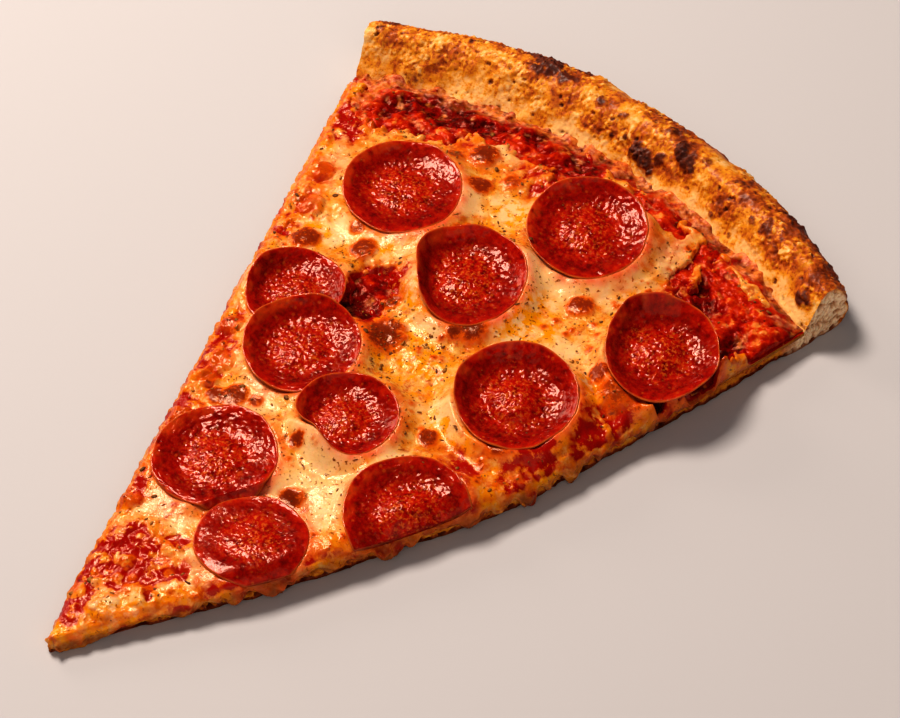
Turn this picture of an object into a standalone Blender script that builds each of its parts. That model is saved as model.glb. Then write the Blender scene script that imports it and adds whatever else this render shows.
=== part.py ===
"""A slice of pepperoni pizza, an eighth of a 20 inch pizza, lying flat.

The slice is drawn about the middle of the whole pizza, which is its tip. A place on it is a share u across the slice,
from -1 at the left cut to +1 at the right cut, and a distance r out from the tip. Each layer is a grid over u and r with
a lower and an upper surface: baked dough with its raised rim, tomato sauce, and melted cheese. The rounds of pepperoni
lie in seats pressed into the cheese. At the end everything is shifted so that the middle of the base is the origin.

Sizes are millimetres, turned to Blender's metres by MM. The tip points along -Y and the rim lies at +Y.
"""

import math
from dataclasses import dataclass

import bmesh
import bpy
from mathutils import Vector, noise

MM = 0.001

# The slice seen from above: its two cuts, and how far its outside is from the tip at the middle.
LEFT_CUT = math.radians(-21.3)
RIGHT_CUT = math.radians(22.4)
TIP_START = 3.5
OUTER_RADIUS = 256.5
OUTER_SLANT = 4.2
OUTER_ROUNDING = 8.0
RIGHT_BOW = 12.5
BOW_REACH = 240
MIDDLE_FROM_TIP = (0.7, 130.2)

# The raised rim of the crust, in section: foot, crest, round outside and undercut.
RIM_WIDTH = 26
RIM_NARROWING = 5.5
RIM_SLANT = 1.7
RIM_HEIGHT = 17.5
RIM_CREST = 0.56
WAIST_HEIGHT = 7
WAIST_HALF = 0.8
UNDERCUT = 0.68
RIM_UNEVENNESS = 1.1
RIM_WAVE = 1.2

# The layers, from the base up.
BASE_THICKNESS = 5.4
SAUCE_THICKNESS = 1.5
CHEESE_THICKNESS = 2.1
CHEESE_EDGE = 0.6
GAP = 0.3
SAUCE_BOTTOM = BASE_THICKNESS + GAP
CHEESE_BOTTOM = SAUCE_BOTTOM + SAUCE_THICKNESS + GAP
CHEESE_TOP = CHEESE_BOTTOM + CHEESE_THICKNESS

# How far the sauce and the cheese go, and how lumpy they are.
SAUCE_INSET = 1.2
SAUCE_WIDTH_SHARE = 0.985
CHEESE_INSET = 3
CHEESE_REACH = 206
CHEESE_REACH_WAVE = 7
BARE_START = 1.5
SAUCE_LUMPS = 1.3
CHEESE_LUMPS = 0.7
LUMP_SPACING = 17

# Where the cheese runs down the right cut.
DRIP_OVERHANG = 1.6
DRIP_DROP = 4.6
DRIP_SPACING = 6.3

# The grids: faces across and out, and the share of the rows laid on the wide flat stretch.
DOUGH_GRID = (26, 20)
FILLING_GRID = (20, 20)
BASE_ROWS = 0.45
COVERED_ROWS = 0.75

# The pepperoni.
PEPPERONI_THICKNESS = 1.7
PEPPERONI_SUNK = 0.9
PEPPERONI_STEPS = 20
PEPPERONI_RINGS = 4
PEPPERONI_WOBBLE = 0.05
SEAT_CLEARANCE = 0.35
BLOCK_HEIGHT = 60


@dataclass
class Pepperoni:
    """One round of pepperoni, with its middle measured from the slice's tip, and angles in degrees from +X."""

    x: float
    y: float
    radius: float
    rise: float = 0.0
    rise_towards: float = 132.0
    cup: float = 4.0
    fold: float = 0.0
    fold_at: float = 180.0
    raised: float = 0.0
    cut: str = ""


PEPPERONI = [
    Pepperoni(-36.5, 182.5, 18.4, rise=2.5, cup=3.6, fold=1.5, fold_at=150),
    Pepperoni(18.4, 201.5, 18.0, rise=4.5, cup=3.4),
    Pepperoni(1.6, 166.0, 18.0, rise=3.0, cup=4.4, fold=3.0, fold_at=175),
    Pepperoni(-32.5, 128.0, 18.2, cup=2.6, fold=1.0, fold_at=120, cut="left"),
    Pepperoni(-17.2, 116.0, 17.6, rise=3.4, rise_towards=130, cup=3.8, raised=0.3),
    Pepperoni(10.8, 104.4, 15.8, rise=1.2, cup=5.6, fold=3.0, fold_at=215, raised=0.6),
    Pepperoni(42.0, 137.8, 18.4, rise=3.6, cup=4.6),
    Pepperoni(62.2, 176.0, 17.8, rise=5.4, cup=4.4, raised=0.4),
    Pepperoni(-7.4, 71.4, 17.4, cup=3.2),
    Pepperoni(20.0, 56.2, 16.8, rise=1.6, rise_towards=100, cup=2.4, raised=0.6, cut="right"),
    Pepperoni(44.2, 90.4, 17.8, rise=1.0, cup=2.6, cut="right"),
]

# Pairs of rounds, counted from 1, of which the second lies over the first.
LAID_OVER = [(4, 5), (5, 6), (9, 10)]


@dataclass
class Opening:
    """A place where the cheese has drawn back and the sauce shows."""

    x: float
    y: float
    length: float
    width: float
    turn: float


OPENINGS = [
    Opening(-15.5, 139.5, 15, 9, 35),
    Opening(60.0, 113.0, 12, 7, 60),
    Opening(-2.5, 40.0, 17, 8, 70),
    Opening(-62.0, 176.0, 12, 7, 65),
    Opening(9.0, 22.0, 9, 5, 50),
]


def smooth(share):
    """Goes from 0 to 1 with level ends as the share goes from 0 to 1."""
    share = min(max(share, 0.0), 1.0)
    return share * share * (3 - 2 * share)


def round_over(share):
    """Goes from 1 to 0 along a quarter circle as the share goes from 0 to 1."""
    share = min(max(share, 0.0), 1.0)
    return 1 - math.sqrt(share * (2 - share))


def lumps(place, spacing, layer):
    """An even spread of lumps, from -1 to 1, that differs from layer to layer."""
    return noise.noise(Vector((place.x / spacing, place.y / spacing, 7.3 * layer)))


def direction(degrees):
    return Vector((math.cos(math.radians(degrees)), math.sin(math.radians(degrees))))


def outer_radius(u):
    """How far the outside of the rim is from the tip."""
    return OUTER_RADIUS - OUTER_SLANT * u - OUTER_ROUNDING * u * u


def rim_foot(u):
    """How far the foot of the rim's inner slope is from the tip."""
    return outer_radius(u) - RIM_WIDTH + RIM_SLANT * u + RIM_NARROWING * u * u


def plan(u, r):
    """The place of a share u across the slice, r out from the tip. The right cut bows outwards."""
    angle = LEFT_CUT + (RIGHT_CUT - LEFT_CUT) * (u + 1) / 2
    bow = RIGHT_BOW * math.sin(math.pi * min(r / BOW_REACH, 1)) * max((u + 1) / 2, 0) ** 2
    return Vector((r * math.sin(angle) + bow, r * math.cos(angle), 0))


def rim_share(u, r):
    """0 at the foot of the rim's inner slope and 1 at its outside."""
    return (r - rim_foot(u)) / (outer_radius(u) - rim_foot(u))


def dough_top(u, r):
    """Flat on the base, then up the rim's inner slope and round over its crest to its waist."""
    share = rim_share(u, r)
    if share <= 0:
        return BASE_THICKNESS
    height = RIM_HEIGHT + RIM_UNEVENNESS * lumps(plan(u, r), 28, 1) * smooth(share * 2)
    if share < RIM_CREST:
        return BASE_THICKNESS + (height - BASE_THICKNESS) * smooth(share / RIM_CREST)
    fall = min((share - RIM_CREST) / (1 - RIM_CREST), 1)
    waist = WAIST_HEIGHT + WAIST_HALF
    return waist + (height - waist) * math.sqrt(1 - fall * fall)


def dough_bottom(u, r):
    """Flat on the table, then up the rim's undercut to its waist."""
    climb = min(max((rim_share(u, r) - UNDERCUT) / (1 - UNDERCUT), 0), 1)
    return (WAIST_HEIGHT - WAIST_HALF) * (1 - math.sqrt(1 - climb * climb))


def dough_distance(u, share):
    """Rows wide apart on the flat base and close together round the rim."""
    if share <= BASE_ROWS:
        return TIP_START + (rim_foot(u) - TIP_START) * share / BASE_ROWS
    turn = (share - BASE_ROWS) / (1 - BASE_ROWS)
    wave = RIM_WAVE * lumps(plan(u, OUTER_RADIUS), 24, 2) * smooth(turn)
    return rim_foot(u) + (outer_radius(u) - rim_foot(u)) * math.sin(turn * math.pi / 2) + wave


def cheese_reach(u):
    """How far the cheese goes towards the rim: a wavy line, nearer the tip at the right cut."""
    wave = CHEESE_REACH_WAVE * lumps(plan(u, CHEESE_REACH), 26, 4)
    return CHEESE_REACH + wave - 5 * max(u - 0.55, 0)


def sauce_distance(u, share):
    """Rows wide apart under the cheese and close together in the bare band beside the rim."""
    start, uncovered, end = TIP_START + SAUCE_INSET, cheese_reach(u) + BARE_START, rim_foot(u) - 0.5
    if share <= COVERED_ROWS:
        return start + (uncovered - start) * share / COVERED_ROWS
    return uncovered + (end - uncovered) * (share - COVERED_ROWS) / (1 - COVERED_ROWS)


def sauce_bottom(u, r):
    return SAUCE_BOTTOM


def sauce_top(u, r):
    """Flat under the cheese, and lumpy in the bare band beside the rim."""
    bare = smooth((r - cheese_reach(u) - BARE_START) / 5)
    rise = SAUCE_LUMPS * (0.9 + lumps(plan(u, r), 9, 3)) * bare
    return SAUCE_BOTTOM + SAUCE_THICKNESS + rise


def cheese_distance(u, share):
    start = TIP_START + CHEESE_INSET
    return start + (cheese_reach(u) - start) * share


def cheese_bottom(u, r):
    return CHEESE_BOTTOM


def cheese_top(u, r):
    """Melted and lumpy, rounded down at the cuts and where it ends."""
    cuts = 0.9 * round_over((1 - abs(u)) / 0.08)
    end = 1.1 * round_over((cheese_reach(u) - r) / 8)
    height = CHEESE_TOP + CHEESE_LUMPS * lumps(plan(u, r), LUMP_SPACING, 5) - cuts - end
    return max(height, CHEESE_BOTTOM + CHEESE_EDGE)


def drip_drop(r):
    """How far the cheese runs down the right cut, lobe by lobe, and less towards the tip and the rim."""
    lobes = 0.5 + 0.5 * math.sin(r / DRIP_SPACING) * math.sin(r / DRIP_SPACING / 2.5 + 1.1)
    middle = smooth(r / 60) * smooth((CHEESE_REACH - r) / 40)
    return DRIP_DROP * lobes * middle


def material(name, colour, roughness):
    made = bpy.data.materials.new(name)
    made.use_nodes = True
    shader = made.node_tree.nodes["Principled BSDF"]
    shader.inputs["Base Color"].default_value = (*colour, 1)
    shader.inputs["Roughness"].default_value = roughness
    shader.inputs["Metallic"].default_value = 0
    return made


def place_object(name, mesh, collection, finish):
    """Makes a mesh object from a bmesh drawn in millimetres about the tip."""
    bmesh.ops.scale(mesh, vec=(MM, MM, MM), verts=mesh.verts)
    bmesh.ops.recalc_face_normals(mesh, faces=mesh.faces)
    data = bpy.data.meshes.new(name)
    mesh.to_mesh(data)
    mesh.free()
    data.shade_smooth()
    data.set_sharp_from_angle(angle=math.radians(40))
    data.materials.append(finish)
    made = bpy.data.objects.new(name, data)
    made.location = (-MIDDLE_FROM_TIP[0] * MM, -MIDDLE_FROM_TIP[1] * MM, 0)
    collection.objects.link(made)
    return made


def place_cutter(name, mesh, collection, finish):
    cutter = place_object(name, mesh, collection, finish)
    cutter.hide_render = True
    cutter.display_type = "WIRE"
    return cutter


def cut(piece, cutter):
    modifier = piece.modifiers.new("cut by " + cutter.name, "BOOLEAN")
    modifier.operation = "DIFFERENCE"
    modifier.solver = "EXACT"
    modifier.object = cutter


def pull_up(mesh):
    """Closes an open sheet into a slab by pulling up a copy of it, and returns the copy's vertices."""
    pulled = bmesh.ops.extrude_face_region(mesh, geom=mesh.faces[:])
    return {vert for vert in pulled["geom"] if isinstance(vert, bmesh.types.BMVert)}


def grid_layer(grid, distance, lower, upper, widen=1.0):
    """A closed layer: a grid over the slice, pulled up from its lower to its upper surface.

    Each vertex keeps its share across the slice in the layer "u"."""
    mesh = bmesh.new()
    share_across = mesh.verts.layers.float.new("u")
    bmesh.ops.create_grid(mesh, x_segments=grid[0], y_segments=grid[1], size=1)
    top = pull_up(mesh)
    for vert in mesh.verts:
        u = vert.co.x
        r = distance(u, (vert.co.y + 1) / 2)
        surface = upper if vert in top else lower
        vert[share_across] = u
        vert.co = plan(u * widen, r)
        vert.co.z = surface(u, r)
    return mesh


def add_drips(mesh):
    """Pulls the right side of the cheese out past the cut, and down it in lobes."""
    share_across = mesh.verts.layers.float["u"]
    side = [face for face in mesh.faces if all(vert[share_across] > 0.999 for vert in face.verts)]
    pulled = bmesh.ops.extrude_face_region(mesh, geom=side)
    bmesh.ops.delete(mesh, geom=side, context="FACES")
    outward = Vector((math.cos(RIGHT_CUT), -math.sin(RIGHT_CUT), 0))
    for vert in pulled["geom"]:
        if isinstance(vert, bmesh.types.BMVert):
            on_top = vert.co.z > CHEESE_BOTTOM + CHEESE_EDGE / 2
            drop = drip_drop(vert.co.xy.length)
            vert.co += outward * DRIP_OVERHANG * (0.4 + 0.6 * drop / DRIP_DROP)
            vert.co.z -= CHEESE_EDGE / 2 if on_top else drop


def pepperoni_surface(spec, offset):
    """The height of a round's lower surface at an offset from its middle: tilted, cupped and folded."""
    share = min(offset.length / spec.radius, 1.1)
    on_fold_side = max(offset.normalized().dot(direction(spec.fold_at)), 0) if share > 0 else 0
    tilt = spec.rise * (offset.dot(direction(spec.rise_towards)) / spec.radius + 1) / 2
    cup = spec.cup * share**3.2
    fold = spec.fold * share**2.5 * on_fold_side**2
    return CHEESE_TOP - PEPPERONI_SUNK + spec.raised + tilt + cup + fold


def pepperoni_mesh(spec, grow=0.0, height=PEPPERONI_THICKNESS):
    """A round: a disc in rings, bent to its surface and pulled up to its height."""
    mesh = bmesh.new()
    bmesh.ops.create_circle(mesh, cap_ends=True, cap_tris=True, segments=PEPPERONI_STEPS, radius=1)
    spokes = [edge for edge in mesh.edges if not edge.is_boundary]
    bmesh.ops.subdivide_edges(mesh, edges=spokes, cuts=PEPPERONI_RINGS - 1)
    top = pull_up(mesh)
    for vert in mesh.verts:
        wobble = 1 + PEPPERONI_WOBBLE * noise.noise(Vector((spec.x + 2 * vert.co.x, spec.y + 2 * vert.co.y, 0)))
        offset = vert.co.xy * (spec.radius + grow) * wobble
        low = pepperoni_surface(spec, offset) - grow
        vert.co = (spec.x + offset.x, spec.y + offset.y, low + (height if vert in top else 0))
    return mesh


def block_mesh(side):
    """A tall block over all that lies outside one cut of the slice: side is -1 for left and 1 for right."""
    mesh = bmesh.new()
    bmesh.ops.create_grid(mesh, x_segments=1, y_segments=24, size=1)
    top = pull_up(mesh)
    for vert in mesh.verts:
        u = side * (1.5 + 0.5 * vert.co.x)
        vert.co = plan(u, TIP_START + OUTER_RADIUS * (vert.co.y + 1) / 2)
        vert.co.z = BLOCK_HEIGHT if vert in top else 0
    return mesh


def opening_mesh(spec):
    """A rounded, uneven plug that reaches through the cheese."""
    mesh = bmesh.new()
    bmesh.ops.create_cone(mesh, cap_ends=True, segments=12, radius1=0.5, radius2=0.56, depth=2 * CHEESE_TOP)
    along, across = direction(spec.turn), direction(spec.turn + 90)
    for vert in mesh.verts:
        wobble = 1 + 0.35 * noise.noise(Vector((spec.x + 3 * vert.co.x, spec.y + 3 * vert.co.y, 0)))
        flat = (along * vert.co.x * spec.length + across * vert.co.y * spec.width) * wobble
        vert.co = (spec.x + flat.x, spec.y + flat.y, vert.co.z + CHEESE_TOP)
    return mesh


def make_crust(parts):
    baked_dough = material("baked dough", (0.62, 0.31, 0.09), 0.6)
    return place_object("crust", grid_layer(DOUGH_GRID, dough_distance, dough_bottom, dough_top), parts, baked_dough)


def make_sauce(parts):
    tomato_sauce = material("tomato sauce", (0.45, 0.03, 0.01), 0.35)
    mesh = grid_layer(FILLING_GRID, sauce_distance, sauce_bottom, sauce_top, widen=SAUCE_WIDTH_SHARE)
    return place_object("sauce", mesh, parts, tomato_sauce)


def make_cheese(parts, cutters):
    """The cheese, with the places where it has drawn back cut out of it."""
    melted_cheese = material("melted cheese", (0.85, 0.55, 0.22), 0.4)
    mesh = grid_layer(FILLING_GRID, cheese_distance, cheese_bottom, cheese_top)
    add_drips(mesh)
    cheese = place_object("cheese", mesh, parts, melted_cheese)
    for number, spec in enumerate(OPENINGS, 1):
        cut(cheese, place_cutter(f"opening {number}", opening_mesh(spec), cutters, melted_cheese))
    return cheese


def make_pepperoni(parts, cutters, cheese, sauce):
    """The rounds, each with its seat in what it lies on, trimmed where the slice was cut through them."""
    cured_sausage = material("cured sausage", (0.42, 0.02, 0.01), 0.25)
    blocks = {
        "left": place_cutter("left block", block_mesh(-1), cutters, cured_sausage),
        "right": place_cutter("right block", block_mesh(1), cutters, cured_sausage),
    }
    rounds, seats = [], []
    for number, spec in enumerate(PEPPERONI, 1):
        made = place_object(f"pepperoni_{number:02d}", pepperoni_mesh(spec), parts, cured_sausage)
        seat_mesh = pepperoni_mesh(spec, grow=SEAT_CLEARANCE, height=BLOCK_HEIGHT / 2)
        seat = place_cutter(f"seat {number}", seat_mesh, cutters, cured_sausage)
        cut(cheese, seat)
        if math.hypot(spec.x, spec.y) + spec.radius > CHEESE_REACH - LUMP_SPACING:
            cut(sauce, seat)
        if spec.cut:
            cut(made, blocks[spec.cut])
        rounds.append(made)
        seats.append(seat)
    for under, over in LAID_OVER:
        cut(rounds[under - 1], seats[over - 1])


def main():
    for old in list(bpy.data.objects):
        bpy.data.objects.remove(old)
    parts = bpy.data.collections.new("pepperoni pizza slice")
    cutters = bpy.data.collections.new("cutters")
    cutters.hide_render = True
    for collection in (parts, cutters):
        bpy.context.scene.collection.children.link(collection)

    make_crust(parts)
    sauce = make_sauce(parts)
    cheese = make_cheese(parts, cutters)
    make_pepperoni(parts, cutters, cheese, sauce)


main()
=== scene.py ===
"""The looks of a slice of pepperoni pizza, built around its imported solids.

Lengths are in millimetres and places are measured from the slice's tip, until Workshop.finish turns them
into metres in the frame of the solids. A place on the slice is also a share u across it, from -1 at the left
cut to +1 at the right cut, and a distance r out from the tip.
"""

import logging
import math
from collections.abc import Callable
from dataclasses import dataclass, field
from enum import Enum

import bmesh
import bpy
import numpy as np
from mathutils import Matrix, Vector


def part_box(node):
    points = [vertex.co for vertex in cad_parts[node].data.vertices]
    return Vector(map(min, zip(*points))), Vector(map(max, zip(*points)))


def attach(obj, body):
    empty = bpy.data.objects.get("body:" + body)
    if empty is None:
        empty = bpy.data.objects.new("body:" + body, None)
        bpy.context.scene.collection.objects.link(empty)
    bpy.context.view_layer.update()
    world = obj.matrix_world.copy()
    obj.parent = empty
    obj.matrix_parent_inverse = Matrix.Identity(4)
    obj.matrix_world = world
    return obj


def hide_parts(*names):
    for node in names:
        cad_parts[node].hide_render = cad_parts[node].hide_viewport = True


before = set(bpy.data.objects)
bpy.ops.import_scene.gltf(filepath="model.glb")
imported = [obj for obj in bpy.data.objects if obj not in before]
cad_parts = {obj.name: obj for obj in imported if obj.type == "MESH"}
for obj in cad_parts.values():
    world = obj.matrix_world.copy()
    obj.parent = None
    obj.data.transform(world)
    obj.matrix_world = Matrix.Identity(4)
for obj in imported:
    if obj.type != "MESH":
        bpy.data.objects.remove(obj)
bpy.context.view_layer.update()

log = logging.getLogger("pizza slice")
Array = np.ndarray

MM = 0.001
# A share above ON_FACE lies on the face that it runs to, and one below SLIVER on the face that it runs from.
ON_FACE = 0.999
SLIVER = 1e-4
MIDDLE_FROM_TIP = (0.7, 130.2)
BODY = "root"


class Slot(Enum):
    """The record's material slots."""

    DOUGH = "baked_dough"
    SAUCE = "tomato_sauce"
    CHEESE = "melted_cheese"
    SAUSAGE = "cured_sausage"


# ---- Patterns ----


def smoothstep(low: float | Array, high: float | Array, value: Array) -> Array:
    """Rises from 0 at low to 1 at high with level ends.

    Args:
        low: Where the rise starts.
        high: Where it ends. It may be below low, and then the result falls.
        value: The values to map.

    Returns:
        Numbers from 0 to 1.
    """
    share = np.clip((value - low) / (high - low), 0.0, 1.0)
    return share * share * (3 - 2 * share)


def blend(start: float | Array, end: float | Array, share: Array) -> Array:
    """Goes from start to end as share goes from 0 to 1."""
    return start + (end - start) * share


def scramble(x: Array, y: Array, z: Array, seed: int) -> Array:
    """Gives each lattice point its own 32-bit number.

    Args:
        x: Whole numbers.
        y: Whole numbers.
        z: Whole numbers.
        seed: Which set of numbers.

    Returns:
        Unsigned 32-bit numbers.
    """
    mixed = x.astype(np.uint32) * np.uint32(73856093)
    mixed ^= y.astype(np.uint32) * np.uint32(19349663)
    mixed ^= z.astype(np.uint32) * np.uint32(83492791)
    mixed ^= np.uint32((seed * 2654435761 + 97) % 2**32)
    for shift, factor in ((15, 0x2C1B3C6D), (12, 0x297A2D39), (15, 1)):
        mixed ^= mixed >> np.uint32(shift)
        mixed *= np.uint32(factor)
    return mixed


def noise(points: Array, size: float, seed: int = 0) -> Array:
    """Smooth lumps of one size.

    Args:
        points: One row of x, y and z for each place.
        size: The lumps' spacing.
        seed: Which pattern.

    Returns:
        A number for each place, mostly from -1 to 1.
    """
    place = points / size
    corner = np.floor(place)
    inside = place - corner
    whole = corner.astype(np.int64)
    ease = inside**3 * (inside * (inside * 6 - 15) + 10)
    total = np.zeros(len(points))
    for step in np.ndindex(2, 2, 2):
        weight = np.prod(np.where(np.array(step) == 1, ease, 1 - ease), axis=1)
        number = scramble(*(whole + step).T, seed)
        slopes = [((number >> np.uint32(bits)) & np.uint32(255)) / 127.5 - 1 for bits in (0, 8, 16)]
        total += weight * sum(slope * (inside[:, axis] - step[axis]) for axis, slope in enumerate(slopes))
    return total * 1.25


def layered(points: Array, size: float, layers: int, seed: int = 0, gain: float = 0.5) -> Array:
    """Lumps with smaller lumps on them.

    Args:
        points: One row of x, y and z for each place.
        size: The largest lumps' spacing.
        layers: How many sizes, each half the one before.
        seed: Which pattern.
        gain: How strong each size is beside the one before.

    Returns:
        A number for each place, mostly from -1 to 1.
    """
    total = sum(gain**k * noise(points, size / 2**k, seed + 31 * k) for k in range(layers))
    return total / sum(gain**k for k in range(layers)) * 1.3


def creases(points: Array, size: float, layers: int, seed: int = 0) -> Array:
    """Sharp ridges between rounded hollows.

    Args:
        points: One row of x, y and z for each place.
        size: The ridges' spacing.
        layers: How many sizes, each half the one before.
        seed: Which pattern.

    Returns:
        A number for each place, from 0 in a hollow to 1 on a ridge.
    """
    total = sum(0.5**k * (1 - 2.2 * np.abs(noise(points, size / 2**k, seed + 17 * k))) for k in range(layers))
    return np.clip(total / sum(0.5**k for k in range(layers)), 0, 1)


def billows(points: Array, size: float, layers: int, seed: int = 0) -> Array:
    """Rounded lumps with sharp valleys between them.

    Args:
        points: One row of x, y and z for each place.
        size: The lumps' spacing.
        layers: How many sizes, each half the one before.
        seed: Which pattern.

    Returns:
        A number for each place, from 0 in a valley to 1 on a lump.
    """
    lumps = [
        np.minimum(1, 2.6 * np.abs(noise(points, size / 2**k, seed + 13 * k))) ** 0.7
        for k in range(layers)
    ]
    return sum(0.5**k * lump for k, lump in enumerate(lumps)) / sum(0.5**k for k in range(layers))


def warped(points: Array, reach: float, size: float, seed: int) -> Array:
    """Places pushed about by noise, which turns a pattern's straight runs into wandering ones."""
    return points + reach * np.stack([noise(points, size, seed + k) for k in range(3)], axis=1)


def cells(x: Array, y: Array, spacing: float, seed: int = 0) -> tuple[Array, Array, Array]:
    """Finds the nearest of a plane's scattered points.

    Args:
        x: One coordinate of each place.
        y: The other.
        spacing: How far apart the scattered points are.
        seed: Which scatter.

    Returns:
        The distance to the nearest point, the distance to the next one, both as shares of the spacing, and
        the nearest point's own random number from 0 to 1.
    """
    across, along = x / spacing, y / spacing
    cell_x, cell_y = np.floor(across), np.floor(along)
    nearest, second, own = np.full(len(x), 9.0), np.full(len(x), 9.0), np.zeros(len(x))
    for step_x in (-1, 0, 1):
        for step_y in (-1, 0, 1):
            there_x, there_y = cell_x + step_x, cell_y + step_y
            number = scramble(there_x.astype(np.int64), there_y.astype(np.int64), np.zeros(len(x)), seed)
            jitter_x = (number & np.uint32(1023)) / 1023
            jitter_y = ((number >> np.uint32(10)) & np.uint32(1023)) / 1023
            apart = np.hypot(there_x + jitter_x - across, there_y + jitter_y - along)
            closer = apart < nearest
            second = np.where(closer, nearest, np.minimum(second, apart))
            own = np.where(closer, (number >> np.uint32(20)) / 4095, own)
            nearest = np.where(closer, apart, nearest)
    return nearest, second, own


def flat_points(x: Array, y: Array, layer: float = 0.0) -> Array:
    """Rows of x, y and one height, for a pattern on a plane."""
    return np.stack([x, y, np.full(len(x), layer)], axis=1)


def each(kind: type, *rows: tuple[object, ...]) -> tuple:
    """Makes one of a kind from each row of its measures."""
    return tuple(kind(*row) for row in rows)


@dataclass(frozen=True)
class Patch:
    """A long or round stretch of the slice, in millimetres from the tip."""

    x: float
    y: float
    length: float
    width: float
    turn: float = 0.0
    strength: float = 1.0

    def depth(self, x: Array, y: Array) -> Array:
        """How far inside the patch each place is.

        Args:
            x: Places across the slice.
            y: Places out from the tip.

        Returns:
            The patch's strength at its middle, 0 at its edge, and below 0 outside.
        """
        cos, sin = math.cos(math.radians(self.turn)), math.sin(math.radians(self.turn))
        along = ((x - self.x) * cos + (y - self.y) * sin) / self.length
        across = (-(x - self.x) * sin + (y - self.y) * cos) / self.width
        return self.strength * (1 - np.hypot(along, across))


def deepest(patches: tuple[Patch, ...], x: Array, y: Array, wander: float, seed: int) -> Array:
    """How far inside the nearest of some patches each place is, with ragged edges.

    Args:
        patches: The patches.
        x: Places across the slice.
        y: Places out from the tip.
        wander: How far the edges stray.
        seed: Which raggedness.

    Returns:
        1 in the middle of a patch, 0 at an edge, and below 0 outside all of them.
    """
    points = flat_points(x, y)
    stray_x = wander * (noise(points, 7.5, seed) + 0.6 * noise(points, 2.6, seed + 1))
    stray_y = wander * (noise(points, 7.5, seed + 2) + 0.6 * noise(points, 2.6, seed + 3))
    depths = [patch.depth(x + stray_x, y + stray_y) for patch in patches]
    return np.max(np.stack(depths), axis=0)


@dataclass(frozen=True)
class Strand:
    """A drawn-out fold of cheese from one place to another."""

    start: tuple[float, float]
    end: tuple[float, float]
    width: float
    height: float

    def rise(self, x: Array, y: Array) -> Array:
        """How high the strand stands at each place."""
        way = np.array(self.end) - np.array(self.start)
        length = math.hypot(*way)
        along = np.clip(((x - self.start[0]) * way[0] + (y - self.start[1]) * way[1]) / length**2, 0, 1)
        apart = np.hypot(x - self.start[0] - along * way[0], y - self.start[1] - along * way[1])
        return self.height * np.exp(-((apart / self.width) ** 2)) * (1 - 0.5 * along)


# ---- The slice's layout ----


@dataclass(frozen=True)
class SlicePlan:
    """The slice seen from above, and its layers' heights."""

    left_cut: float = math.radians(-21.3)
    right_cut: float = math.radians(22.4)
    tip_start: float = 0.8
    outer_middle: float = 256.5
    right_bow: float = 12.5
    bow_reach: float = 240.0
    belly: float = 2.4
    belly_at: float = 121.0
    belly_spread: float = 24.0
    rim_width: float = 26.0
    base: float = 5.4
    sauce_top: float = 7.2
    cheese_bottom: float = 7.5
    cheese_top: float = 9.6
    rim_height: float = 17.5
    crest: float = 0.56
    tip_thickness: float = 0.58
    thin_until: float = 72.0
    tip_drawn: tuple[float, float] = (-3.2, 3.2)

    def outer(self, u: Array) -> Array:
        """How far the outside of the rim is from the tip."""
        return self.outer_middle - 4.2 * u - 8.0 * u * u

    def foot(self, u: Array) -> Array:
        """How far the foot of the rim's inner slope is from the tip."""
        return self.outer(u) - self.rim_width + 1.7 * u + 5.5 * u * u

    def bow(self, u: Array, r: Array) -> Array:
        """How far the right cut's outward bow shifts a place."""
        share = np.maximum((u + 1) / 2, 0)
        belly = self.belly * np.exp(-(((r - self.belly_at) / self.belly_spread) ** 2)) * share**6
        return self.right_bow * np.sin(np.pi * np.minimum(r / self.bow_reach, 1)) * share**2 + belly

    def place(self, u: Array, r: Array) -> tuple[Array, Array]:
        """Turns shares across and distances out into x and y."""
        angle = self.left_cut + (self.right_cut - self.left_cut) * (u + 1) / 2
        return r * np.sin(angle) + self.bow(u, r), r * np.cos(angle)

    def shares(self, x: Array, y: Array) -> tuple[Array, Array]:
        """Turns x and y into shares across and distances out.

        Args:
            x: Places across the slice.
            y: Places out from the tip.

        Returns:
            The share across, and the distance out.
        """
        u, r = np.zeros(len(x)), np.hypot(x, y)
        for _ in range(6):
            straight = x - self.bow(np.clip(u, -1, 1.2), r)
            r = np.hypot(straight, y)
            u = (np.arctan2(straight, y) - self.left_cut) / (self.right_cut - self.left_cut) * 2 - 1
        return u, r

    def dough_rise(self, slope: Array) -> Array:
        """The height of the dough, by the distance out from the foot of its inner slope."""
        return self.base + (self.rim_height - self.base) * smoothstep(0, self.crest * self.rim_width, slope)

    def thinning(self, x: Array, y: Array) -> Array:
        """The share of its full height that the slice has, less towards its tip."""
        return blend(self.tip_thickness, 1.0, smoothstep(0, self.thin_until, np.hypot(x, y)))

    def to_cut(self, u: Array, r: Array) -> Array:
        """How far a place is from the nearer cut."""
        return (1 - np.abs(u)) * r * (self.right_cut - self.left_cut) / 2


class Cut(Enum):
    """Which cut of the slice goes through a round, if any."""

    NONE = 0
    LEFT = -1
    RIGHT = 1


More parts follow.
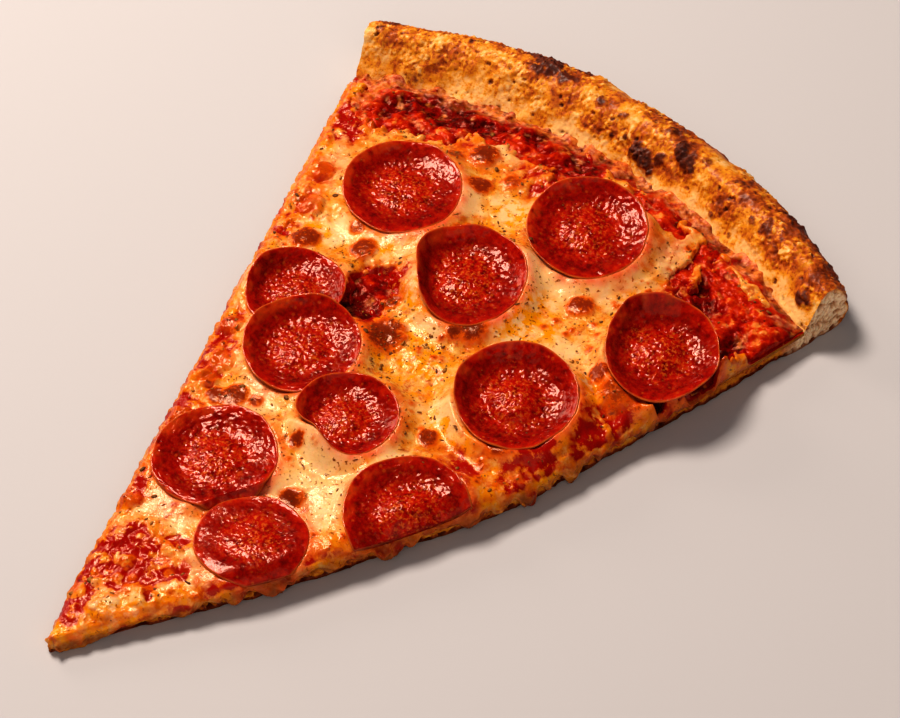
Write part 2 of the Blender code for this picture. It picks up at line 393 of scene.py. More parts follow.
@dataclass(frozen=True)
class Round:
    """A round of pepperoni: how it is tilted, cupped and folded on the cheese. Angles are degrees from +X."""

    number: int
    radius: float
    shift: tuple[float, float] = (0.0, 0.0)
    rise: float = 0.0
    rise_towards: float = 132.0
    cup: float = 4.0
    fold: float = 0.0
    fold_at: float = 180.0
    tuck: float = 0.0
    cut: Cut = Cut.NONE
    mound: float = 0.5
    wetness: float = 0.5
    cling: float = 0.66
    film: float = 0.0
    relief: float = 1.0

    @property
    def node(self) -> str:
        """The name of the solid that this round replaces."""
        return f"pepperoni_{self.number:02d}"

    @property
    def middle(self) -> tuple[float, float]:
        """The round's middle: its solid's, shifted a little."""
        low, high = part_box(self.node)
        x = (low.x + high.x) / 2 / MM + MIDDLE_FROM_TIP[0]
        y = (low.y + high.y) / 2 / MM + MIDDLE_FROM_TIP[1]
        return x + self.shift[0], y + self.shift[1]

    @property
    def bottom(self) -> float:
        """The height of the round's lowest point."""
        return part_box(self.node)[0].z / MM

    def apart(self, x: Array, y: Array) -> Array:
        """How far each place is from the round's middle."""
        return np.hypot(x - self.middle[0], y - self.middle[1])

    def fold_side(self, offset_x: Array, offset_y: Array) -> Array:
        """How squarely each offset from the middle points at the folded side, from 0 to 1."""
        way_x, way_y = math.cos(math.radians(self.fold_at)), math.sin(math.radians(self.fold_at))
        length = np.maximum(np.hypot(offset_x, offset_y), 0.01)
        return np.maximum((offset_x * way_x + offset_y * way_y) / length, 0)

    def reach(self, offset_x: Array, offset_y: Array) -> Array:
        """How far the round's ragged edge is from its middle, in the direction of each offset."""
        out = np.maximum(np.hypot(offset_x, offset_y), 0.01)
        rim = flat_points(offset_x / out * self.radius, offset_y / out * self.radius, 5.0 * self.number)
        ragged = 1 + 0.05 * noise(rim, 12, 120) + 0.014 * noise(rim, 4, 123)
        return self.radius * ragged - self.tuck * self.fold_side(offset_x, offset_y) ** 3

    def drawn_in(self, share: Array, reach: Array) -> Array:
        """How much nearer the middle the ragged disc's places are than the plain disc's, as a factor."""
        return blend(1.0, reach / self.radius, smoothstep(0.2, 1.0, share))

    def unbent(self, x: Array, y: Array) -> tuple[Array, Array, Array]:
        """Finds where places would be on the plain round disc, and how far they are past its ragged edge.

        Args:
            x: Places across the slice.
            y: Places out from the tip.

        Returns:
            Places across and out on the plain disc, and distances past the edge, below 0 inside it.
        """
        offset_x, offset_y = x - self.middle[0], y - self.middle[1]
        apart, reach = np.hypot(offset_x, offset_y), self.reach(offset_x, offset_y)
        share = apart / reach
        for _ in range(8):
            share = apart / self.radius / self.drawn_in(share, reach)
        stretch = share * self.radius / np.maximum(apart, 0.01)
        return self.middle[0] + offset_x * stretch, self.middle[1] + offset_y * stretch, apart - reach

    def underside(self, x: Array, y: Array) -> Array:
        """The height of the round's lower surface.

        Args:
            x: Places across the slice.
            y: Places out from the tip.

        Returns:
            Heights, which go on past the edge as they are at the edge.
        """
        offset_x, offset_y = (x - self.middle[0]) / self.radius, (y - self.middle[1]) / self.radius
        out = np.hypot(offset_x, offset_y)
        share = np.minimum(out, 1.0)
        rise_x, rise_y = math.cos(math.radians(self.rise_towards)), math.sin(math.radians(self.rise_towards))
        on_fold_side = self.fold_side(offset_x, offset_y)
        tilt = self.rise * (np.clip(offset_x * rise_x + offset_y * rise_y, -1.1, 1.1) + 1) / 2
        uneven = 1 + 0.45 * noise(flat_points(x, y, 3.0 * self.number), 14)
        raised = (np.clip(offset_x * rise_x + offset_y * rise_y, -1, 1) + 1) / 2
        cup = self.cup * (0.62 + 0.65 * raised) * share**4.8 * uneven
        fold = self.fold * smoothstep(0.66, 1.0, share) * on_fold_side**2.5
        return self.bottom + tilt + cup + fold


@dataclass(frozen=True)
class Blister:
    """A browned bubble in the cheese."""

    x: float
    y: float
    radius: float
    height: float
    browning: float = 0.8
    darkness: float = 0.3


@dataclass(frozen=True)
class Toppings:
    """Where everything lies on the slice."""

    rounds: tuple[Round, ...] = (
        Round(1, 18.1, (1.7, -1.3), rise=1.6, cup=2.8, fold=1.2, fold_at=150, mound=0.3),
        Round(2, 17.9, (2.0, -2.2), rise=4.3, cup=3.2, mound=0.35, wetness=0.8),
        Round(3, 17.8, (2.4, -2.5), rise=2.2, cup=3.6, fold=3.6, fold_at=222, tuck=4.2, mound=0.45),
        Round(4, 15.0, (-0.8, 3.5), rise=0.6, cup=3.0, fold=2.4, fold_at=190, tuck=1.6, mound=0.2,
              wetness=0.9),
        Round(5, 16.9, (1.7, -1.1), rise=1.8, rise_towards=130, cup=3.2, mound=0.3, wetness=0.8, tuck=0.8,
              fold=0.8, fold_at=225),
        Round(6, 14.8, (0.6, -1.6), rise=1.0, cup=3.2, fold=4.0, fold_at=258, tuck=5.0, mound=0.4),
        Round(7, 17.7, (2.4, -2.2), rise=3.2, cup=4.2, fold=0.6, fold_at=235, tuck=1.6, mound=0.8,
              wetness=0.9, film=1.0),
        Round(8, 16.6, (3.9, -3.7), rise=4.6, cup=4.4, fold=0.6, fold_at=215, tuck=1.4, mound=0.6,
              wetness=0.8, film=0.8),
        Round(9, 17.4, (-0.7, 0.8), cup=2.6, mound=0.4, wetness=0.9),
        Round(10, 15.2, (-0.9, 1.7), rise=-3.0, rise_towards=110, cup=1.2, cut=Cut.RIGHT, mound=0.1,
              wetness=0.3, relief=0.45),
        Round(11, 17.3, (5.2, -1.4), rise=0.8, cup=2.6, cut=Cut.RIGHT, mound=0.5, wetness=0.6, film=0.4),
    )
    laid_over: tuple[tuple[int, int], ...] = ((4, 5), (5, 6), (9, 10))
    bare: tuple[Patch, ...] = each(
        Patch, (-66, 213, 15, 12, -70), (-52, 216, 16, 12), (-34, 224, 15, 8.5, -8), (-14, 225, 15, 9),
        (0, 221, 8, 8, 0, 0.8), (29, 221, 14, 5, -12), (49, 217, 5, 7, 25), (60, 204, 15, 10, -38),
        (76, 200, 10, 9, -40), (77, 182, 5, 20, 12, 0.8), (84, 203, 9, 12, 20), (-17, 145, 6, 11, 20, 0.8),
        (-17, 137, 7, 4.5, -20), (74, 161, 4, 3, 0, 0.5),
    )
    sheer: tuple[Patch, ...] = each(
        Patch, (-6, 211, 16, 11, 0, 0.8), (-32, 208, 12, 9, 0, 0.5), (-69, 196, 9, 17, 20, 0.9),
        (-60, 172, 7, 15, 20, 0.8), (-15, 148, 11, 15, 20), (-4, 134, 12, 8, -20, 0.9),
        (16, 150, 9, 8, 0, 0.8), (68, 143, 11, 26, 12), (62, 120, 12, 16, 10, 0.9), (76, 178, 9, 34, 10),
        (-38, 104, 8, 20, 20), (-28, 78, 8, 20, 20, 0.9), (45, 112, 14, 6, 0, 0.7), (52, 102, 8, 12, 30, 0.8),
        (-4, 32, 15, 15, 0, 1.5), (10, 33, 8, 7, 0, 0.9), (-18, 52, 8, 12, 20, 0.8), (-2, 11, 6, 13, 0, 1.4),
        (24, 42, 12, 8, 50, 0.8), (42, 214, 6, 14, 10, 0.4), (38, 190, 9, 7, 0, 0.3), (-6, 52, 8, 7, 0, 0.5),
        (-54, 150, 7, 8, 20, 0.8), (22, 74, 8, 6, 0, 0.4), (-9, 22, 5, 10, 20), (36, 64, 8, 8, 40, 0.7),
        (58, 200, 14, 12, -38, 0.9), (-10, 66, 8, 5, 0, 0.5), (-2, 26.3, 6, 4.5, 0, 2.2),
        (-6.7, 40.2, 4.5, 4, 0, 2.0), (-10.1, 27, 4, 8, 20, 2.2), (9.1, 29.2, 4, 5, 0, 2.0),
        (10.9, 37.5, 3.4, 6, 20, 1.8), (-5.7, 32.5, 5, 4, 0, 2.0), (-1.8, 10, 3, 5, 10, 2.4),
        (-0.3, 39.3, 5, 4, 0, 1.6), (3.7, 46, 4, 3, 0, 1.6), (67.5, 144, 5, 8, 10, 1.8),
        (60, 126, 5, 7, 20, 1.6), (49, 111, 5, 4, 30, 1.4), (37, 62, 3, 6, 40, 1.2), (-31, 95, 4, 9, 20, 1.5),
        (-38.8, 111, 4, 4, 0, 2.0), (-55, 160, 5, 4, 0, 1.8), (-61, 174, 4.5, 4, 0, 2.0),
        (-26, 78, 3, 5, 20, 1.5), (-17, 52, 3, 6, 20, 1.4), (-74, 200, 4, 6, 20, 1.8),
        (-65, 199, 6, 5, 0, 1.8), (-60, 202, 5, 4), (76, 186, 4, 10, 10, 1.6),
    )
    smears: tuple[Patch, ...] = each(
        Patch, (45, 213, 4, 13), (53, 207, 2.4, 6, 20, 0.8), (-72, 197, 3.6, 6, 20, 0.9),
    )
    # Dips in the sauce; the sauce is also painted darker in them, as painted shade.
    hollows: tuple[Patch, ...] = each(
        Patch, (-52, 220, 15, 8, -6), (-20, 226, 6, 5, 0, 0.6), (-17, 140, 7, 6, -20, 0.8),
        (62, 200, 8, 4, -50, 0.7), (72, 161, 4, 3, 0, 0.6), (57, 205, 6, 3, -40, 0.8),
        (-1, 225, 8, 4, 0, 0.5), (40, 222, 5, 4, 0, 0.5), (76, 190, 4, 9, 10, 0.7),
        (-63.8, 213, 6, 5, 0, 0.9), (-65, 207, 4, 3, 0, 0.8), (-36, 220, 8, 5, 0, 0.7),
    )
    knobbly: tuple[Patch, ...] = each(
        Patch, (-2, 24, 22, 30), (-42, 108, 11, 90, 21.5, 1.2), (66, 132, 14, 44, 8),
        (-4, 210, 22, 10, 0, 0.8), (-72, 200, 12, 22, 20), (52, 208, 16, 10, -35, 0.8),
        (-15, 148, 12, 16, 20, 0.8), (78, 176, 9, 34, 10), (34, 50, 16, 16, 45, 0.6),
    )
    strands: tuple[Strand, ...] = (
        Strand((-13.5, 158), (-12.0, 152), 1.0, 1.8), Strand((-12.3, 153.5), (-0.7, 146.5), 1.1, 1.2),
        Strand((25.9, 88), (30.0, 77), 1.0, 1.2), Strand((9.7, 47.1), (14, 39), 1.2, 1.2),
        Strand((5.6, 45), (9, 38), 1.0, 0.9), Strand((41.9, 221), (45, 198), 2.2, 0.9),
        Strand((38.5, 219), (40, 205), 1.2, 0.7), Strand((57, 211), (54.5, 201), 1.8, 2.2),
        Strand((67, 155), (72, 148), 1.6, 1.6), Strand((51, 167), (58, 157), 1.3, 0.8),
        Strand((-20, 36), (-8, 26), 1.3, 0.8), Strand((4, 22), (12, 34), 3.0, 1.0),
        Strand((26, 66), (22, 50), 1.4, 0.7), Strand((-52, 165), (-44, 158), 1.2, 0.6),
    )
    pale: tuple[Patch, ...] = each(
        Patch, (21, 77, 17, 14, 40), (15, 91, 11, 8), (21, 177, 15, 13, 20), (39, 190, 14, 9, 10),
        (24, 157, 9, 8, 0, 0.8), (-40, 157, 9, 6, 0, 0.9), (-25, 163, 10, 8), (-23, 213, 9, 5, 0, 0.7),
        (-19, 189, 9, 8, 0, 0.9), (-14, 95, 10, 6, -20, 0.9), (-7, 35, 7, 6, 0, 0.6), (-7, 53, 9, 7, 0, 0.8),
        (55, 155, 8, 9, 0, 0.7), (43, 209, 6, 12, 10), (6, 142, 8, 7, 0, 0.7), (31, 120, 10, 6, 0, 0.8),
        (-54, 161, 5, 5, 0, 0.6), (32, 100, 9, 6, 20, 0.8), (4, 17, 6, 5, 0, 0.9), (-5, 22, 4, 3, 0, 0.7),
        (-4, 16, 3, 3, 0, 0.6), (11, 34, 3, 5, 20, 0.9), (13, 42, 5, 5, 20, 0.9), (19, 41, 5, 5, 20, 0.8),
        (9, 19, 5, 4, 0, 0.8), (10.5, 25, 3, 3, 0, 0.8), (-5, 51, 8, 6), (-67, 191, 6, 5, 0, 0.9),
        (-60, 181, 6, 7, 20, 0.7), (-48, 150, 6, 8, 20, 0.6), (-15, 92, 8, 5, 0, 0.9),
        (-47, 186, 6, 5, 0, 0.4), (40, 160, 9, 8, 0, 0.9), (-5, 195, 8, 6, 0, 0.8),
    )
    oily: tuple[Patch, ...] = each(
        Patch, (27, 163, 11, 13, 20), (10, 133, 20, 11, -12), (-4, 194, 9, 10, 0, 0.9),
        (38, 118, 16, 6, 0, 0.8), (-28, 160, 11, 6, 0, 0.6), (-48, 153, 10, 6, 0, 0.9),
        (0, 150, 12, 8, 0, 0.9), (60, 150, 8, 12, 20, 0.9), (-22, 92, 12, 6, 0, 0.4), (20, 105, 8, 6, 0, 0.5),
        (-25, 46, 7, 9, 20, 0.9), (46, 185, 6, 12, 20, 0.6), (55, 108, 10, 8, 0, 0.8), (8, 57, 10, 8, 0, 0.4),
        (58, 98, 10, 16, 30, 0.9),
    )
    blisters: tuple[Blister, ...] = each(
        Blister, (-26.6, 209, 5.2, 1.6, 0.9, 0.6), (-18.6, 197.9, 3.9, 1.1), (-45.7, 150.2, 4.6, 1.0, 0.9),
        (-29.2, 156.6, 4.3, 1.1), (-1.2, 134.0, 6.6, 1.5, 0.9, 0.7), (-8.5, 145.5, 3.2, 1.0, 0.7),
        (-19.2, 91.2, 4.6, 1.0, 0.9, 0.5), (17.2, 74.2, 4.2, 1.4, 0.9, 0.6),
        (17.1, 150.5, 4.8, 1.4, 0.9, 0.8), (14.0, 146.2, 2.6, 0.9, 0.9, 0.8), (37.9, 210.4, 2.6, 0.7, 0.3),
        (35.1, 177.2, 4.3, 1.3, 0.7, 0.2), (56.5, 158.0, 3.6, 0.9), (-24.5, 89.0, 2.8, 0.7),
        (6.5, 89.5, 2.4, 0.5, 0.9, 0.4), (64.5, 155.0, 5.4, 2.2, 0.5), (-63.0, 200.5, 4.2, 1.3, 0.4),
        (-70.5, 207.5, 4.8, 2.2, 0.5), (-12.5, 205.0, 3.6, 0.9, 0.5), (-33.0, 203.5, 3.2, 0.8, 0.6),
        (51.0, 121.0, 4.2, 0.9, 0.7), (33.0, 112.5, 3.2, 0.8), (-36.0, 162.0, 2.6, 0.5, 0.5),
        (22.5, 187.0, 2.6, 0.6, 0.8, 0.4), (-54.0, 161.0, 4.6, 2.0, 0.3), (-58.0, 160.5, 3.6, 1.6, 0.2),
        (-38.8, 111, 3.8, 1.8, 0.2), (-31.2, 99.0, 4.0, 1.6, 0.3), (-30.1, 92.2, 3.4, 1.4, 0.3),
        (-23.0, 88.3, 3.0, 1.0, 0.7), (-26.6, 77.5, 3.4, 1.5, 0.3), (-61.0, 174.0, 4.2, 1.8, 0.3),
        (-46.0, 149, 4.2, 1.4, 0.9), (-8.0, 9.0, 2.4, 1.0, 0.1), (-12.0, 19.0, 3.4, 1.6, 0.1),
        (-16.0, 47.6, 3.2, 1.2, 0.3), (-13.3, 93.4, 2.6, 0.6, 0.6), (4.0, 17.0, 4.4, 1.3, 0.0),
        (11.0, 26.0, 3.4, 1.2, 0.0), (12.5, 42.0, 3.4, 1.2, 0.1), (6.2, 89.3, 2.6, 0.5, 0.9, 0.6),
    )
    cheese_thickness_spread: float = 0.9


PLAN = SlicePlan()
TOPPINGS = Toppings()


@dataclass(frozen=True)
class Landscape:
    """The heights and mixtures of the sauce and the cheese, all over the slice."""

    toppings: Toppings
    sausage_thickness: float = 1.7
    sunk_gap: float = 0.2
    clearance: float = 0.25

    def rounds_with_edges(self) -> list[tuple[Round, list[Round]]]:
        """Pairs each round with those that lie over it."""
        by_number = {one.number: one for one in self.toppings.rounds}
        above = {number: [] for number in by_number}
        for under, over in self.toppings.laid_over:
            above[under].append(by_number[over])
        return [(one, above[one.number]) for one in self.toppings.rounds]

    def under_round(self, one: Round, above: list[Round], x: Array, y: Array) -> Array:
        """The height of a round's lower surface, pressed down by those over it and bent over its cut.

        Args:
            one: The round.
            above: The rounds that lie over it.
            x: Places across the slice.
            y: Places out from the tip.

        Returns:
            Heights.
        """
        height = one.underside(x, y)
        for over in above:
            past_edge = np.maximum(over.apart(x, y) - over.radius, 0)
            room = over.underside(x, y) - self.sausage_thickness - self.clearance + 0.9 * past_edge
            height = np.minimum(height, np.maximum(room, PLAN.cheese_bottom + 0.3 + past_edge))
        if one.cut is not Cut.NONE:
            u, r = PLAN.shares(x, y)
            past = np.clip(4.5 - np.where(u * one.cut.value > 0, PLAN.to_cut(u, r), 99), 0, 7)
            height = height - 0.11 * past**2
        return height

    def bareness(self, x: Array, y: Array, u: Array, r: Array) -> Array:
        """How far the cheese has drawn back from the sauce.

        Args:
            x: Places across the slice.
            y: Places out from the tip.
            u: Their shares across.
            r: Their distances out.

        Returns:
            0 where the cheese is whole and 1 where there is none.
        """
        depth = deepest(self.toppings.bare, x, y, 3.6, 5)
        depth = depth - 1.3 * np.clip(2 * deepest(self.toppings.smears, x, y, 2.0, 6), 0, 1)
        points = flat_points(x, y)
        rim = smoothstep(-4.0, 0.5, r - PLAN.foot(u) + 2.5 * noise(points, 6, 72))
        ragged = 0.22 * noise(points, 2.4, 73)
        return np.clip(smoothstep(-0.12, 0.3, depth + ragged) + rim, 0, 1)

    def knobs(self, x: Array, y: Array) -> tuple[Array, Array]:
        """The rough lumps of the thin cheese.

        Args:
            x: Places across the slice.
            y: Places out from the tip.

        Returns:
            How strong the lumps are at each place, and their shape from 0 in a valley to 1 on a lump.
        """
        points = flat_points(x, y, 51)
        strength = smoothstep(-0.1, 0.5, deepest(self.toppings.knobbly, x, y, 3.0, 52))
        return strength, billows(warped(points, 1.6, 5, 53), 6.2, 3, 56)

    def sheerness(self, x: Array, y: Array, bare: Array) -> Array:
        """How far the sauce shows through the cheese, from 0 to 1."""
        points = flat_points(x, y)
        depth = np.maximum(deepest(self.toppings.sheer, x, y, 4.0, 9), 0)
        knobby, lump = self.knobs(x, y)
        broken = 0.8 + 0.8 * layered(points, 5.5, 3, 75) - 1.1 * knobby * (lump - 0.45)
        return np.clip(1.5 * depth * broken + 0.9 * smoothstep(0.02, 0.5, bare), 0, 1)

    def blister_field(self, x: Array, y: Array) -> tuple[Array, Array, Array]:
        """The cheese's browned bubbles.

        Args:
            x: Places across the slice.
            y: Places out from the tip.

        Returns:
            How high they stand, how browned they are, and how dark.
        """
        height, brown, dark = np.zeros(len(x)), np.zeros(len(x)), np.zeros(len(x))
        points = flat_points(x, y)
        stray = 0.2 * noise(points, 3.2, 81) + 0.12 * noise(points, 1.3, 82)
        for one in self.toppings.blisters:
            out = np.hypot(x - one.x, y - one.y) / one.radius + stray
            dome = np.sqrt(np.clip(1 - out**2, 0, 1))
            height = np.maximum(height, 1.15 * one.height * dome)
            brown = np.maximum(brown, min(1.0, 1.4 * one.browning) * smoothstep(1.25, 0.5, out))
            dark = np.maximum(
                dark, 0.8 * one.darkness * smoothstep(0.9, 0.1, out + 0.4 * noise(points, 2.0, 83))
            )
        near, _, own = cells(x, y, 5.2, 84)
        small = np.where(own > 0.5, smoothstep(0.34, 0.06, near + 0.5 * stray), 0)
        amount = smoothstep(
            -0.3, 0.3, noise(points, 20, 85) - 0.4 * np.clip(deepest(self.toppings.pale, x, y, 2, 86), 0, 1)
        )
        tiny, _, tiny_own = cells(x + 3, y, 2.6, 87)
        fleck = np.where(tiny_own > 0.6, smoothstep(0.3, 0.1, tiny + 0.6 * stray), 0) * amount
        brown = np.maximum(brown, np.maximum(0.8 * small * amount, 0.5 * fleck))
        return height + 0.45 * small * amount + 0.12 * fleck, brown, dark

    def sauce_height(self, x: Array, y: Array, u: Array, r: Array) -> Array:
        """The height of the chunky sauce.

        Args:
            x: Places across the slice.
            y: Places out from the tip.
            u: Their shares across.
            r: Their distances out.

        Returns:
            Heights.
        """
        points = flat_points(x, y, 11)
        lumps = billows(warped(points, 2.6, 7, 21), 7.2, 3, 24)
        in_band = smoothstep(-34, -14, r - PLAN.foot(u))
        hollow = np.clip(1.6 * deepest(self.toppings.hollows, x, y, 2.4, 28), 0, 1)
        height = PLAN.sauce_top + 0.5 + 0.9 * in_band - 1.7 * hollow
        height = height + (1.2 + 1.0 * in_band) * (lumps - 0.4) * (1 - 0.5 * hollow)
        height = height + (0.5 + 0.6 * in_band) * noise(points, 12, 25) + 0.32 * layered(points, 2.0, 2, 26)
        slope = r - PLAN.foot(u)
        film = 2.2 - 0.5 * np.maximum(slope, 0) + 2.4 * noise(points, 8, 29) + 1.3 * noise(points, 3.0, 30)
        height = blend(height, PLAN.dough_rise(slope) + film, smoothstep(-5, 0.5, slope))
        to_cut = PLAN.to_cut(u, r)
        height = height - 1.0 * smoothstep(2.2, 0, to_cut) * (1.1 - 0.5 * noise(points, 5, 27))
        return np.maximum(height, PLAN.base + 1.2)

    def cheese_height(self, x: Array, y: Array, u: Array, r: Array, bare: Array) -> Array:
        """The height of the cheese where nothing lies in it.

        Args:
            x: Places across the slice.
            y: Places out from the tip.
            u: Their shares across.
            r: Their distances out.
            bare: How far it has drawn back there.

        Returns:
            Heights.
        """
        points = flat_points(x, y, 31)
        whole = PLAN.cheese_top + 0.35 + self.toppings.cheese_thickness_spread * noise(points, 19, 32)
        pale = np.clip(1.9 * deepest(self.toppings.pale, x, y, 4.5, 109), 0, 1)
        whole = whole + 0.4 * noise(points, 8.5, 33) + blend(0.5, 0.16, pale) * layered(points, 3.0, 3, 34)
        folded = (
            creases(warped(points, 2.5, 9, 38), 11, 1, 39) ** 3
            * smoothstep(-0.2, 0.3, noise(points, 17, 35))
        )
        whole = whole + 0.6 * folded
        sheer = self.sheerness(x, y, bare)
        knobby, lump = self.knobs(x, y)
        whole = whole + 1.5 * knobby * (lump - 0.5) - 0.4 * sheer + 0.25 * sheer * layered(points, 2.2, 2, 36)
        to_cut = PLAN.to_cut(u, r)
        edge = np.clip(1 - to_cut / 3.6, 0, 1)
        whole = whole - 1.6 * (1 - np.sqrt(1 - edge**2)) * (1 + 0.3 * noise(points, 6, 37))
        whole = whole + np.sum([strand.rise(x, y) for strand in self.toppings.strands], axis=0)
        return blend(whole + self.blister_field(x, y)[0], PLAN.sauce_top - 0.9, bare)

    def dressed_height(self, x: Array, y: Array, u: Array, r: Array, bare: Array) -> Array:
        """The height of the cheese with the rounds' seats pressed into it.

        Args:
            x: Places across the slice.
            y: Places out from the tip.
            u: Their shares across.
            r: Their distances out.
            bare: How far the cheese has drawn back there.

        Returns:
            Heights.
        """
        height = self.cheese_height(x, y, u, r, bare)
        points = flat_points(x, y, 41)
        for one, above in self.rounds_with_edges():
            near = one.apart(x, y) < one.radius + 11
            offset_x, offset_y = x[near] - one.middle[0], y[near] - one.middle[1]
            lip_side = one.film * one.fold_side(offset_x, offset_y) ** 2
            disc_x, disc_y, past_edge = one.unbent(x[near], y[near])
            seat = self.under_round(one, above, disc_x, disc_y) - self.sunk_gap
            lee = offset_x / np.maximum(np.hypot(offset_x, offset_y), 0.01)
            uneven = noise(points[near], 8, 43 + one.number)
            at_fold = 0.12 * one.fold * one.fold_side(offset_x, offset_y) ** 3
            cling = one.cling + 0.36 * lee + 0.22 * uneven + 0.2 * lip_side + at_fold
            climb = np.clip(cling, 0.15, 0.98) * np.clip(seat - height[near], 0, 6.5) * (1 - bare[near])
            pressed = np.minimum(seat, height[near] + climb)
            decay = smoothstep(9.0, 0.2, past_edge) ** 1.8
            cover = 0.85 * smoothstep(-0.2, 0.6, lee + 0.8 * uneven + at_fold) * (1 - bare[near])
            beside = blend(height[near], pressed + cover, decay)
            beside = beside + 0.6 * lip_side * np.exp(-(((past_edge - 1.1) / 0.7) ** 2))
            height[near] = blend(pressed, beside, smoothstep(-0.9, -0.1, past_edge))
        return height

    def seat_limit(self, height: Array, x: Array, y: Array) -> Array:
        """Keeps a surface below the rounds that lie on it."""
        for one, above in self.rounds_with_edges():
            near = one.apart(x, y) < one.radius + 1
            disc_x, disc_y, past_edge = one.unbent(x[near], y[near])
            seat = self.under_round(one, above, disc_x, disc_y) - self.sunk_gap
            height[near] = np.where(past_edge < -0.8, np.minimum(height[near], seat), height[near])
        return height

    def surface(self, x: Array, y: Array) -> Array:
        """The height of whatever is on top, sauce or cheese, beside the rounds."""
        u, r = PLAN.shares(x, y)
        bare = self.bareness(x, y, u, r)
        return np.maximum(self.dressed_height(x, y, u, r, bare), self.sauce_height(x, y, u, r))


LAND = Landscape(TOPPINGS)


# ---- Making meshes ----


class Axis(Enum):
    """The directions of a slab before it is shaped: across the slice, out from the tip, and up."""

    ACROSS = 0
    OUT = 1
    UP = 2


@dataclass(frozen=True)
class Refinement:
    """A stretch of a slab's edges that is divided further."""

    axis: Axis
    cuts: int
    where: Callable[[Vector], bool]


def on_top(middle: Vector) -> bool:
    """Whether an edge with this middle lies on a slab's upper surface."""
    return middle.z > ON_FACE


@dataclass
class Slab:
    """A closed layer, drawn as a box of shares and then shaped.

    Its corners run from -1 to 1 across the slice, and from 0 to 1 out from the tip and up."""

    columns: int
    rows: int
    refinements: tuple[Refinement, ...]

    def mesh(self) -> bmesh.types.BMesh:
        """Builds the box and divides the stretches that need it.

        Returns:
            A closed mesh whose x, y and z are the shares across, out and up.
        """
        mesh = bmesh.new()
        bmesh.ops.create_grid(mesh, x_segments=self.columns, y_segments=self.rows, size=1)
        pulled = bmesh.ops.extrude_face_region(mesh, geom=mesh.faces[:])
        top = [vert for vert in pulled["geom"] if isinstance(vert, bmesh.types.BMVert)]
        bmesh.ops.translate(mesh, vec=(0, 0, 1), verts=top)
        bmesh.ops.transform(mesh, matrix=Matrix.Diagonal((1, 0.5, 1, 1)), verts=mesh.verts)
        bmesh.ops.translate(mesh, vec=(0, 0.5, 0), verts=mesh.verts)
        for step in self.refinements:
            edges = [edge for edge in mesh.edges if self.runs_along(edge, step.axis)]
            chosen = [edge for edge in edges if step.where((edge.verts[0].co + edge.verts[1].co) / 2)]
            bmesh.ops.subdivide_edges(mesh, edges=chosen, cuts=step.cuts, use_grid_fill=True)
        bmesh.ops.recalc_face_normals(mesh, faces=mesh.faces)
        return mesh

    @staticmethod
    def runs_along(edge: bmesh.types.BMEdge, axis: Axis) -> bool:
        """Tells whether an edge lies along an axis."""
        way = edge.verts[1].co - edge.verts[0].co
        return all(abs(way[other.value]) < 1e-6 for other in Axis if other is not axis)


@dataclass
class Workshop:
    """Turns shaped meshes into finished objects of the slice."""

    made: list[str] = field(default_factory=list)

    def coordinates(self, mesh: bpy.types.Mesh) -> Array:
        """The mesh's vertices as rows of x, y and z."""
        flat = np.empty(len(mesh.vertices) * 3)
        mesh.vertices.foreach_get("co", flat)
        return flat.reshape(-1, 3)

    def set_coordinates(self, mesh: bpy.types.Mesh, points: Array) -> None:
        """Moves the mesh's vertices to new places."""
        mesh.vertices.foreach_set("co", points.ravel())
        mesh.update()

    def outward(self, mesh: bpy.types.Mesh) -> Array:
        """Each vertex's outward direction."""
        flat = np.empty(len(mesh.vertices) * 3)
        mesh.vertex_normals.foreach_get("vector", flat)
        return flat.reshape(-1, 3)

    def to_mesh(self, name: str, shape: bmesh.types.BMesh) -> bpy.types.Mesh:
        """Turns a bmesh into a mesh and frees it."""
        mesh = bpy.data.meshes.new(name)
        shape.to_mesh(mesh)
        shape.free()
        return mesh

    def finish(
        self,
        name: str,
        mesh: bpy.types.Mesh,
        finish: bpy.types.Material,
        slot: Slot,
        masks: dict[str, Array] | None = None,
        replaces: tuple[str, ...] = (),
        sharp_above: float = 180.0,
    ) -> bpy.types.Object:
        """Makes an object of the slice from a mesh drawn in millimetres from the tip.

        Args:
            name: The piece's name.
            mesh: Its mesh.
            finish: Its material.
            slot: The record's material slot; it is not used.
            masks: Numbers for each vertex that its material reads, by name.
            replaces: The solids that it stands for.
            sharp_above: The angle in degrees above which an edge stays sharp.

        Returns:
            The object, at the origin, riding on the slice.
        """
        points = self.coordinates(mesh)
        thinning = PLAN.thinning(points[:, 0], points[:, 1])
        points[:, 2] *= thinning
        points[:, :2] += np.outer((1 - thinning) / (1 - PLAN.tip_thickness), PLAN.tip_drawn)
        points[:, 0] -= MIDDLE_FROM_TIP[0]
        points[:, 1] -= MIDDLE_FROM_TIP[1]
        self.set_coordinates(mesh, points * MM)
        for mask, values in (masks or {}).items():
            layer = mesh.attributes.new(mask, "FLOAT", "POINT")
            layer.data.foreach_set("value", np.clip(values, 0, 1).astype(np.float32))
        mesh.shade_smooth()
        if sharp_above < 180:
            mesh.set_sharp_from_angle(angle=math.radians(sharp_above))
        mesh.materials.append(finish)
        piece = bpy.data.objects.new(name, mesh)
        bpy.context.scene.collection.objects.link(piece)
        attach(piece, BODY)
        if replaces:
            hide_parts(*replaces)
        triangles = sum(len(face.vertices) - 2 for face in mesh.polygons)
        self.made.append(name)
        log.info("%s: %d triangles, %s", name, triangles, finish.name)
        return piece


SHOP = Workshop()


# ---- Materials ----


